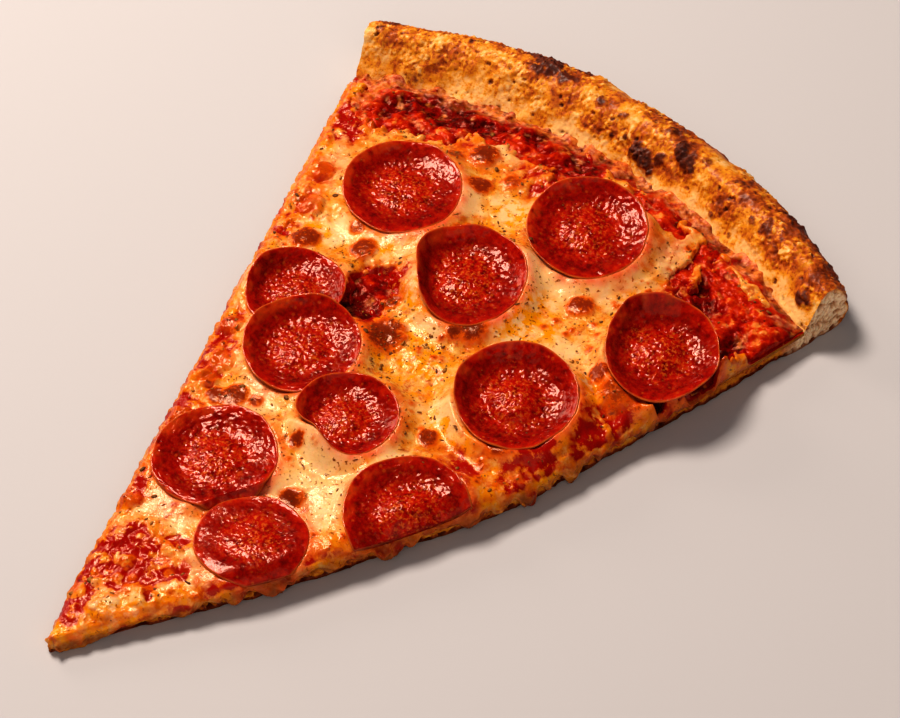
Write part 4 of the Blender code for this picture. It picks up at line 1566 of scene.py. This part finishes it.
@dataclass
class Sauce:
    """The tomato sauce: a thin chunky layer, bare beside the rim and wherever the cheese has drawn back."""

    columns: int = 20
    rows: int = 20
    inset: float = 1.0
    over_foot: float = 6.5

    def slab(self) -> Slab:
        """Lays out the sauce, finest in the bare band beside the rim."""
        band = 0.78

        return Slab(
            self.columns,
            self.rows,
            (
                Refinement(Axis.OUT, 15, lambda m: on_top(m) or abs(m.x) > ON_FACE),
                Refinement(Axis.OUT, 1, lambda m: m.y > band and (on_top(m) or abs(m.x) > ON_FACE)),
                Refinement(Axis.ACROSS, 3, on_top),
                Refinement(Axis.ACROSS, 1, lambda m: on_top(m) and m.y > 0.3),
                Refinement(Axis.ACROSS, 1, lambda m: on_top(m) and m.y > 0.76),
                Refinement(Axis.UP, 3, lambda m: True),
            ),
        )

    def build(self, sauce: bpy.types.Material) -> bpy.types.Object:
        """Makes the sauce.

        Args:
            sauce: Its material.

        Returns:
            The finished piece.
        """
        mesh = SHOP.to_mesh("sauce layer", self.slab().mesh())
        u, out, up = SHOP.coordinates(mesh).T
        start = PLAN.tip_start + self.inset
        r = start + (PLAN.foot(u) + self.over_foot - start) * out
        x, y = PLAN.place(u * 0.992, r)
        top = LAND.seat_limit(LAND.sauce_height(x, y, u, r), x, y)
        end = PLAN.base - 1.0 + 2.2 * noise(flat_points(x, y), 6, 91)
        top = blend(top, end, smoothstep(0.986, 1.0, out))
        bottom = PLAN.base + 0.3
        z = blend(bottom, np.maximum(top, bottom + 0.1), up)
        SHOP.set_coordinates(mesh, np.stack([x, y, z], axis=1))
        points = flat_points(x, y)
        crumbs = smoothstep(0.1, 0.5, layered(points, 3.2, 3, 95))
        # Higher sauce is painted brighter and the hollows darker, as painted light and painted shade; the
        # crumbs are real orange bits.
        tone_and_painted_shade = 0.28 + 0.34 * (top - PLAN.sauce_top - 1.2) / 1.5 + 0.22 * noise(points, 6, 92) + 0.35 * crumbs
        tone_and_painted_shade = tone_and_painted_shade - 0.5 * np.clip(1.8 * deepest(TOPPINGS.hollows, x, y, 2.0, 28), 0, 1)
        oil = 0.8 * smoothstep(-3, 2, r - PLAN.foot(u) + 6 * noise(points, 5, 93))
        oil = np.maximum(oil, 0.9 * smoothstep(0.1, 0.45, layered(points, 4.5, 4, 94, 0.6)))
        oil = np.maximum(oil, smoothstep(-70, -76, x - 0.1 * (y - 200)) * 0.8)
        masks = {"tone_and_painted_shade": tone_and_painted_shade, "oil": oil * up}
        return SHOP.finish("sauce_crushed_tomato", mesh, sauce, Slot.SAUCE, masks, ("sauce",))


@dataclass(frozen=True)
class Drip:
    """A run of cheese down the right cut: its distance out, half its width, and its share of the drop."""

    r: float
    half_width: float
    share: float


@dataclass
class Cheese:
    """The melted cheese: a thick uneven skin with seats for the pepperoni, run down over the right cut."""

    columns: int = 20
    rows: int = 20
    overhang: float = 2.0
    drop: float = 6.4
    lower: float = 6.0
    tip_bulge: float = 1.2
    drips: tuple[Drip, ...] = each(
        Drip, (34, 4.4, 0.8), (47, 3.0, 0.9), (57, 4.6, 0.95), (73, 3.6, 0.7), (88, 4.8, 1.1), (94, 2.6, 0.8),
        (110, 3.8, 0.9), (118, 2.2, 0.7), (127, 3.4, 1.08), (134, 2.0, 0.8), (142, 3.4, 1.05),
        (152, 2.2, 0.7), (166, 3.4, 0.6),
    )

    def slab(self) -> Slab:
        """Lays out the cheese: even cells on top, and close ones down its sides."""

        return Slab(
            self.columns,
            self.rows,
            (
                Refinement(Axis.OUT, 19, lambda m: on_top(m) or abs(m.x) > ON_FACE),
                Refinement(Axis.ACROSS, 3, on_top),
                Refinement(Axis.ACROSS, 1, lambda m: on_top(m) and m.y > 0.22),
                Refinement(Axis.ACROSS, 1, lambda m: on_top(m) and m.y > 0.52),
                Refinement(Axis.UP, 17, lambda m: m.x > ON_FACE),
                Refinement(Axis.UP, 4, lambda m: m.x < ON_FACE),
            ),
        )

    def drop_along(self, r: Array) -> Array:
        """How far the cheese runs down the right cut, lobe by lobe."""
        line = flat_points(r, np.zeros(len(r)))
        lobes = (
            0.34 + 0.5 * noise(line, 11, 101) + 0.34 * noise(line, 4.6, 102)
            + 0.22 * noise(line, 1.9, 113)
        )
        ragged = 0.22 * noise(line, 2.5, 115)
        for drip in self.drips:
            apart = np.abs(r - drip.r + 1.2 * noise(line, 3.5, 116)) / drip.half_width
            lobes = np.maximum(lobes, (drip.share + ragged) * np.exp(-(apart**2.4)))
        whole_tip = smoothstep(24, 8, r)
        return self.drop * np.clip(np.maximum(lobes, 1.08 * whole_tip), 0.08, 1.08) * smoothstep(206, 188, r)

    def side(self, u: Array, r: Array, up: Array, edge: Array) -> tuple[Array, Array]:
        """The sides of the cheese: round lobes that hang over the right cut, and a plain left side.

        Args:
            u: Shares across.
            r: Distances out.
            up: Shares up the side.
            edge: The height of the upper surface there.

        Returns:
            How far each place stands out from the cut, and its height.
        """
        down = 1 - up
        drop = self.drop_along(r) * np.where(u > 0, 1, blend(0.16, 0.9, smoothstep(16, 6, r)))
        lowest = np.minimum(PLAN.cheese_bottom - drop, edge - 0.8)
        front = np.clip(down / 0.62, 0, 1)
        under = np.clip((down - 0.62) / 0.16, 0, 1)
        behind = np.clip((down - 0.78) / 0.22, 0, 1)
        lumpy = billows(warped(flat_points(r, down * 9), 1.5, 4, 114), 3.6, 2, 103)
        at_rim = smoothstep(208, 190, r)
        full = 0.25 + 0.75 * drop / self.drop
        swell = (
            self.overhang
            * np.where(u > 0, (0.15 + 0.35 * full + 0.8 * lumpy * full) * at_rim, 0.3 + 0.5 * lumpy)
        )
        out = (
            swell * np.sin(np.pi * np.clip(0.12 + 0.72 * front, 0, 1)) * (1 - under)
            + 0.22 * np.maximum(under, front)
        )
        height = blend(edge, lowest, front**0.85)
        height = height - 0.25 * np.sin(np.pi * under)
        return out, blend(height, self.lower, behind)

    def build(self, cheese: bpy.types.Material) -> bpy.types.Object:
        """Makes the cheese.

        Args:
            cheese: Its material.

        Returns:
            The finished piece.
        """
        mesh = SHOP.to_mesh("cheese layer", self.slab().mesh())
        u, out, up = SHOP.coordinates(mesh).T
        start = PLAN.tip_start + 1.0
        r = start + (PLAN.foot(u) + 2.0 - start) * out
        x, y = PLAN.place(u, r)
        bare = LAND.bareness(x, y, u, r)
        top = LAND.seat_limit(LAND.dressed_height(x, y, u, r, bare), x, y)
        top = np.maximum(top, self.lower + 0.3)
        z = blend(self.lower, top, up)
        on_side = (np.abs(u) > ON_FACE) & (up < ON_FACE)
        stand, side_z = self.side(u, r, up, top)
        way = np.where(u > 0, PLAN.right_cut, PLAN.left_cut)
        x = x + np.where(on_side, stand * np.cos(way) * np.sign(u), 0)
        y = y - np.where(on_side, stand * np.sin(way) * np.sign(u), 0)
        z = np.where(on_side, side_z, z)
        tip = (out < SLIVER) & (up < ON_FACE)
        z = np.where(tip, blend(0.5, top, up), z)
        y = np.where(
            tip, y - self.tip_bulge * np.sin(np.pi * np.clip(0.1 + 0.8 * up, 0, 1)) * (1.2 - np.abs(u)), y
        )
        SHOP.set_coordinates(mesh, np.stack([x, y, z], axis=1))
        _, brown, dark = LAND.blister_field(x, y)
        points = flat_points(x, y)
        sheer = LAND.sheerness(x, y, bare)
        sheer = np.maximum(sheer, 0.5 * smoothstep(4, 0, PLAN.to_cut(u, r)) * (0.8 + noise(points, 7, 104)))
        pale = np.clip(
            2.1 * deepest(TOPPINGS.pale, x, y, 4.5, 109) + 0.3 * noise(points, 5, 110) + 0.08, 0, 1
        )
        oil = np.maximum(deepest(TOPPINGS.oily, x, y, 4.0, 105), 0) * 1.8
        oil = np.maximum(oil, 0.6 * smoothstep(9, 2, PLAN.to_cut(u, r) + 6 * noise(points, 7, 111)))
        end = smoothstep(9, 4, r)
        sheer, oil = sheer * (1 - end), np.maximum(oil, end)
        low_side = np.where(
            on_side & (u > 0), smoothstep(PLAN.cheese_bottom + 1, PLAN.cheese_bottom - 2.5, z), 0
        )
        # A painted pink glow round each round, strongest on its side away from the key lamp.
        painted_pink_glow = np.zeros(len(x))
        for one in TOPPINGS.rounds:
            past_edge = one.unbent(x, y)[2]
            away = (x - one.middle[0]) * 0.98 - (y - one.middle[1]) * 0.18
            lee = 0.45 + 0.55 * np.clip(away / one.radius, -0.6, 1)
            painted_pink_glow = np.maximum(painted_pink_glow, smoothstep(3.6, 0.2, past_edge + 0.8 * noise(points, 5, 106)) * lee)
            side_on = one.fold_side(x - one.middle[0], y - one.middle[1])
            pale = np.maximum(
                pale, np.clip(0.34 * one.fold, 0, 1) * side_on**3 * smoothstep(5.5, 2.5, past_edge)
            )
        solid = np.stack([x, y, z], axis=1)
        masks = {
            "sheer": np.where(on_side, (0.3 + 0.9 * noise(solid, 5, 107)) * (1 - end), sheer),
            "pale": np.where(on_side, 0, pale),
            "oil": np.where(on_side, 0.8, oil),
            "painted_pink_glow": painted_pink_glow * (0.85 + 0.7 * noise(points, 2.6, 117)),
            "brown": np.where(
                on_side, 0.4 * smoothstep(0.1, 0.5, noise(solid, 3.5, 112)), brown * (1 - bare)
            ),
            "dark": np.where(on_side, 0, dark * (1 - bare)),
            "toast": low_side * (0.6 + 0.8 * noise(solid, 3, 108)),
        }
        return SHOP.finish("cheese_melted", mesh, cheese, Slot.CHEESE, masks, ("cheese",))


# ---- The pepperoni ----


@dataclass
class PepperoniRound:
    """One round: a thin disc, cupped by the heat, wrinkled and wet with its own fat."""

    one: Round
    above: list[Round]
    steps: int = 216
    rings: int = 54

    def disc(self) -> bmesh.types.BMesh:
        """Spins the disc's section.

        Returns:
            A flat closed disc with a rounded edge, about the origin.
        """
        radius, thick = self.one.radius, LAND.sausage_thickness
        under = [(radius - 0.5) * k / 10 for k in range(11)]
        turn = [math.radians(angle) for angle in range(-75, 76, 30)]
        edge = [(radius - 0.5 + 0.5 * math.cos(a), thick / 2 * (1 + math.sin(a))) for a in turn]
        over = [(radius - 0.5) * k / self.rings for k in range(self.rings, -1, -1)]
        section = [(x, 0.0) for x in under] + edge + [(x, thick) for x in over]
        mesh = bmesh.new()
        verts = [mesh.verts.new((x, 0, z)) for x, z in section]
        edges = [mesh.edges.new(pair) for pair in zip(verts, verts[1:])]
        bmesh.ops.spin(
            mesh, geom=verts + edges, cent=(0, 0, 0), axis=(0, 0, 1), angle=2 * math.pi, steps=self.steps,
            use_merge=True,
        )
        bmesh.ops.remove_doubles(mesh, verts=mesh.verts, dist=SLIVER)
        bmesh.ops.recalc_face_normals(mesh, faces=mesh.faces)
        return mesh

    def trim(self, mesh: bmesh.types.BMesh) -> None:
        """Cuts the disc along the slice's cut and closes it."""
        middle = self.one.middle
        side = float(self.one.cut.value)
        near = np.array([middle[1] - 8.0, middle[1] + 8.0])
        x, y = PLAN.place(np.full(2, side), near)
        along = Vector((x[1] - x[0], y[1] - y[0], 0)).normalized()
        outward = Vector((along.y, -along.x, 0)) * side
        start = Vector((x[0] - middle[0], y[0] - middle[1], 0)) + outward * 0.8
        cut = bmesh.ops.bisect_plane(
            mesh, geom=mesh.verts[:] + mesh.edges[:] + mesh.faces[:], plane_co=start, plane_no=outward,
            clear_outer=True,
        )
        open_edges = [item for item in cut["geom_cut"] if isinstance(item, bmesh.types.BMEdge)]
        bmesh.ops.holes_fill(mesh, edges=open_edges)
        bmesh.ops.recalc_face_normals(mesh, faces=mesh.faces)

    def wrinkles(self, points: Array, share: Array) -> Array:
        """The fine relief of the round's upper side.

        Args:
            points: Rows of x and y from the round's middle, and a layer.
            share: Shares of the radius out from the middle.

        Returns:
            Heights.
        """
        seed = 200 + 10 * self.one.number
        warp = np.stack(
            [noise(points, 4.5, seed), noise(points, 4.5, seed + 1), np.zeros(len(points))], axis=1
        )
        worms = creases(points + 1.8 * warp, 1.9, 2, seed + 2)
        grit = layered(points, 1.2, 2, seed + 3)
        broad = noise(points, 7, seed + 4)
        swerved = points + 0.9 * warp
        out = np.maximum(np.hypot(swerved[:, 0], swerved[:, 1]), 0.01)
        round_rim = [self.one.radius * swerved[:, axis] / out / 3.6 for axis in (0, 1)]
        hoops = creases(np.stack([*round_rim, out / 1.35], axis=1), 1.0, 2, seed + 6)
        mound = (
            self.one.mound
            * (smoothstep(0.45, 0.1, share) - 0.8 * smoothstep(0.3, 0.12, np.abs(share - 0.6)))
        )
        wall = smoothstep(0.5, 0.8, share)
        deep = blend(0.13, 0.12 + 0.22 * self.one.wetness, wall)
        shrivel = blend(worms, 0.5 * worms + 0.8 * hoops, wall)
        fine = deep * shrivel + blend(0.25, 0.1, wall) * grit
        return 1.5 * mound + 0.4 * broad + self.one.relief * fine

    def build(self, sausage: bpy.types.Material) -> bpy.types.Object:
        """Makes the round.

        Args:
            sausage: Its material.

        Returns:
            The finished piece.
        """
        shape = self.disc()
        if self.one.cut is not Cut.NONE:
            self.trim(shape)
        mesh = SHOP.to_mesh(self.one.node, shape)
        flat = SHOP.coordinates(mesh)
        out = np.hypot(flat[:, 0], flat[:, 1])
        share = out / self.one.radius
        layer = flat_points(flat[:, 0], flat[:, 1], 5.0 * self.one.number)
        ragged = self.one.drawn_in(share, self.one.reach(flat[:, 0], flat[:, 1]))
        x = self.one.middle[0] + flat[:, 0] * ragged
        y = self.one.middle[1] + flat[:, 1] * ragged
        up = flat[:, 2] / LAND.sausage_thickness
        relief = self.wrinkles(layer, share) * smoothstep(1.0, 0.93, share)
        under = LAND.under_round(
            self.one, self.above, self.one.middle[0] + flat[:, 0], self.one.middle[1] + flat[:, 1]
        )
        z = under + flat[:, 2] * (1 - 0.5 * smoothstep(0.7, 1, share)) + relief * up
        SHOP.set_coordinates(mesh, np.stack([x, y, z], axis=1))
        meat = smoothstep(0.95, 0.2, share + 0.25 * noise(layer, 6, 121))
        # The side towards the key lamp, where the wall is painted glowing as painted light.
        toward_key_lamp = np.clip(-1.1 * flat[:, 0] / self.one.radius, 0, 1)
        patches = smoothstep(0.0, 0.35, layered(layer, 4, 3, 125) + 0.4 * toward_key_lamp - 0.25)
        # The wall is painted brighter, and glowing on the side towards the key lamp, as painted light; a band
        # at the wall's foot is painted darker, as painted shade.
        masks = {
            "meat": meat * up * (0.75 + 0.6 * noise(layer, 3, 127)),
            "wall": smoothstep(0.74, 0.95, share + 0.08 * noise(layer, 5, 122)),
            "painted_wall_glow": smoothstep(0.76, 0.94, share) * toward_key_lamp * patches * up,
            "painted_ring_shade": smoothstep(0.25, 0.05, np.abs(share + 0.1 * noise(layer, 6, 124) - 0.74)) * up,
            "rind": (1 - up) * smoothstep(0.66, 0.84, share)
            * (0.4 + 0.6 * self.one.fold_side(flat[:, 0], flat[:, 1])),
            "edge": smoothstep(0.965, 0.99, share) * (0.55 + 0.8 * noise(layer, 4, 126)),
        }
        name = f"{self.one.node}_fried"
        return SHOP.finish(name, mesh, sausage, Slot.SAUSAGE, masks, (self.one.node,))


# ---- Herbs ----


@dataclass
class Herbs:
    """Flakes of dried herb and grains of cracked pepper, scattered over the cheese."""

    flakes: int = 600
    grains: int = 300
    seed: int = 7
    tries_each: int = 14
    widest: float = 0.97
    reach: float = 232.0
    raised: float = 0.2

    def places(self, count: int, rng: np.random.Generator) -> tuple[Array, Array, Array]:
        """Scatters points over the cheese, thickest in the middle of the slice.

        Args:
            count: How many.
            rng: The random numbers.

        Returns:
            Their x, y and z.
        """
        tries = count * self.tries_each
        u = rng.uniform(-self.widest, self.widest, tries)
        r = self.reach * np.sqrt(rng.uniform(0.002, 1, tries))
        x, y = PLAN.place(u, r)
        points = flat_points(x, y)
        crowd = (
            0.2 + 0.4 * smoothstep(60, 5, np.hypot(x - 8, y - 130))
            + 1.1 * layered(points, 13, 2, 131) - 0.05
        )
        bare = LAND.bareness(x, y, u, r)
        crowd = crowd * (1 - 0.6 * bare) * (r < PLAN.foot(u) - 2)
        for one in TOPPINGS.rounds:
            crowd = np.where(one.apart(x, y) < one.radius + 0.3, 0.02 * crowd, crowd)
        kept = np.flatnonzero(rng.uniform(0, 1, tries) < crowd)[:count]
        x, y = x[kept], y[kept]
        z = LAND.surface(x, y)
        for one, above in LAND.rounds_with_edges():
            on_round = one.apart(x, y) < one.radius - 0.5
            upper = LAND.under_round(one, above, x, y) + LAND.sausage_thickness + self.raised
            z = np.where(on_round, upper, z)
        return x, y, z

    def build(self, herb: bpy.types.Material) -> list[bpy.types.Object]:
        """Makes the flakes and the grains.

        Args:
            herb: Their material.

        Returns:
            The two finished pieces.
        """
        rng = np.random.default_rng(self.seed)
        flakes = bmesh.new()
        for x, y, z in zip(*self.places(self.flakes, rng)):
            long = min(0.42 * math.exp(rng.normal(0, 0.5)), 1.2)
            size = Matrix.Diagonal((long, long * rng.uniform(0.3, 0.8), 0.1, 1))
            turn = (
                Matrix.Rotation(rng.uniform(0, 2 * math.pi), 4, "Z")
                @ Matrix.Rotation(rng.normal(0, 0.25), 4, "X")
            )
            place = Matrix.Translation((x, y, z + 0.06)) @ turn @ size
            bmesh.ops.create_icosphere(flakes, subdivisions=1, radius=1, matrix=place)
        grains = bmesh.new()
        for x, y, z in zip(*self.places(self.grains, rng)):
            size = Matrix.Diagonal((*rng.uniform(0.09, 0.26, 3), 1))
            place = Matrix.Translation((x, y, z)) @ Matrix.Rotation(rng.uniform(0, 6.3), 4, "Z") @ size
            bmesh.ops.create_icosphere(grains, subdivisions=1, radius=1, matrix=place)
        made = []
        for name, shape in (("oregano_flakes", flakes), ("cracked_pepper", grains)):
            mesh = SHOP.to_mesh(name, shape)
            points = SHOP.coordinates(mesh)
            points += 0.16 * np.stack([noise(points, 0.8, 140 + k) for k in range(3)], axis=1)
            SHOP.set_coordinates(mesh, points)
            made.append(SHOP.finish(name, mesh, herb, Slot.CHEESE))
        return made


# ---- The studio ----


@dataclass(frozen=True)
class Lamp:
    """A square lamp that faces the slice: its place and side in metres, its power and its hex colour."""

    name: str
    at: tuple[float, float, float]
    size: float
    watts: float
    colour: str

    def build(self) -> None:
        """Hangs the lamp."""
        data = bpy.data.lights.new(self.name, "AREA")
        data.shape, data.size, data.energy = "SQUARE", self.size, self.watts
        data.color = linear(self.colour)[:3]
        lamp = bpy.data.objects.new(self.name, data)
        facing = Vector(self.at).to_track_quat("Z", "Y").to_matrix().to_4x4()
        lamp.matrix_world = Matrix.Translation(self.at) @ facing
        bpy.context.scene.collection.objects.link(lamp)


@dataclass
class Studio:
    """The pale floor, the soft lights and the camera."""

    look_at: tuple[float, float, float] = (12.4, 145.8, 0.0)
    azimuth: float = 42.5
    elevation: float = 47.22
    roll: float = -3.47
    distance: float = 682.6
    focal_length: float = 96.0
    sensor: float = 36.0
    clip: tuple[float, float] = (0.01, 20.0)
    floor_size: float = 6.0
    world_colour: str = "EFEDEB"
    world_strength: float = 0.1
    lamps: tuple[Lamp, ...] = each(
        Lamp,
        ("key", (-0.66, 0.12, 1.14), 0.42, 16.0, "FFEEDE"),
        ("low softbox", (-1.08, 0.16, 0.46), 0.4, 2.4, "FFE6D4"),
        ("fill", (0.8, -0.8, 0.9), 1.4, 6.0, "FFE8D8"),
    )

    def floor(self) -> None:
        """Lays the floor just under the slice."""
        shape = bmesh.new()
        bmesh.ops.create_grid(shape, x_segments=1, y_segments=1, size=self.floor_size / 2)
        mesh = SHOP.to_mesh("floor", shape)
        mesh.materials.append(FloorPaint().build())
        floor = bpy.data.objects.new("floor", mesh)
        bpy.context.scene.collection.objects.link(floor)

    def camera(self) -> None:
        """Sets up the camera: it looks down on the slice from beyond its right cut."""
        angles = (self.azimuth, self.elevation, self.roll)
        azimuth, elevation, roll = (math.radians(angle) for angle in angles)
        middle = Vector(self.look_at) - Vector((*MIDDLE_FROM_TIP, 0))
        away = Vector(
            (
                math.sin(azimuth) * math.cos(elevation),
                -math.cos(azimuth) * math.cos(elevation),
                math.sin(elevation),
            )
        )
        turn = away.to_track_quat("Z", "Y").to_matrix().to_4x4() @ Matrix.Rotation(roll, 4, "Z")
        data = bpy.data.cameras.new("camera")
        data.lens, data.sensor_width = self.focal_length, self.sensor
        data.clip_start, data.clip_end = self.clip
        camera = bpy.data.objects.new("camera", data)
        camera.matrix_world = Matrix.Translation((middle + away * self.distance) * MM) @ turn
        bpy.context.scene.collection.objects.link(camera)
        bpy.context.scene.camera = camera

    def build(self) -> None:
        """Sets up the whole studio."""
        scene = bpy.context.scene
        scene.view_settings.view_transform = "Standard"
        scene.view_settings.look = "High Contrast"
        world = bpy.data.worlds.new("studio")
        world.use_nodes = True
        background = world.node_tree.nodes["Background"]
        background.inputs["Color"].default_value = linear(self.world_colour)
        background.inputs["Strength"].default_value = self.world_strength
        scene.world = world
        self.floor()
        self.camera()
        for lamp in self.lamps:
            lamp.build()


def main() -> None:
    """Builds every piece of the slice and the studio round it."""
    logging.basicConfig(level=logging.INFO, format="%(name)s: %(message)s")
    Crust().build(BakedDough().build())
    Sauce().build(TomatoSauce().build())
    Cheese().build(MeltedCheese().build())
    sausage = CuredSausage().build()
    for one, above in LAND.rounds_with_edges():
        PepperoniRound(one, above).build(sausage)
    Herbs().build(DriedHerb().build())
    Studio().build()
    log.info("%d pieces", len(SHOP.made))


if __name__ == "__main__":
    main()
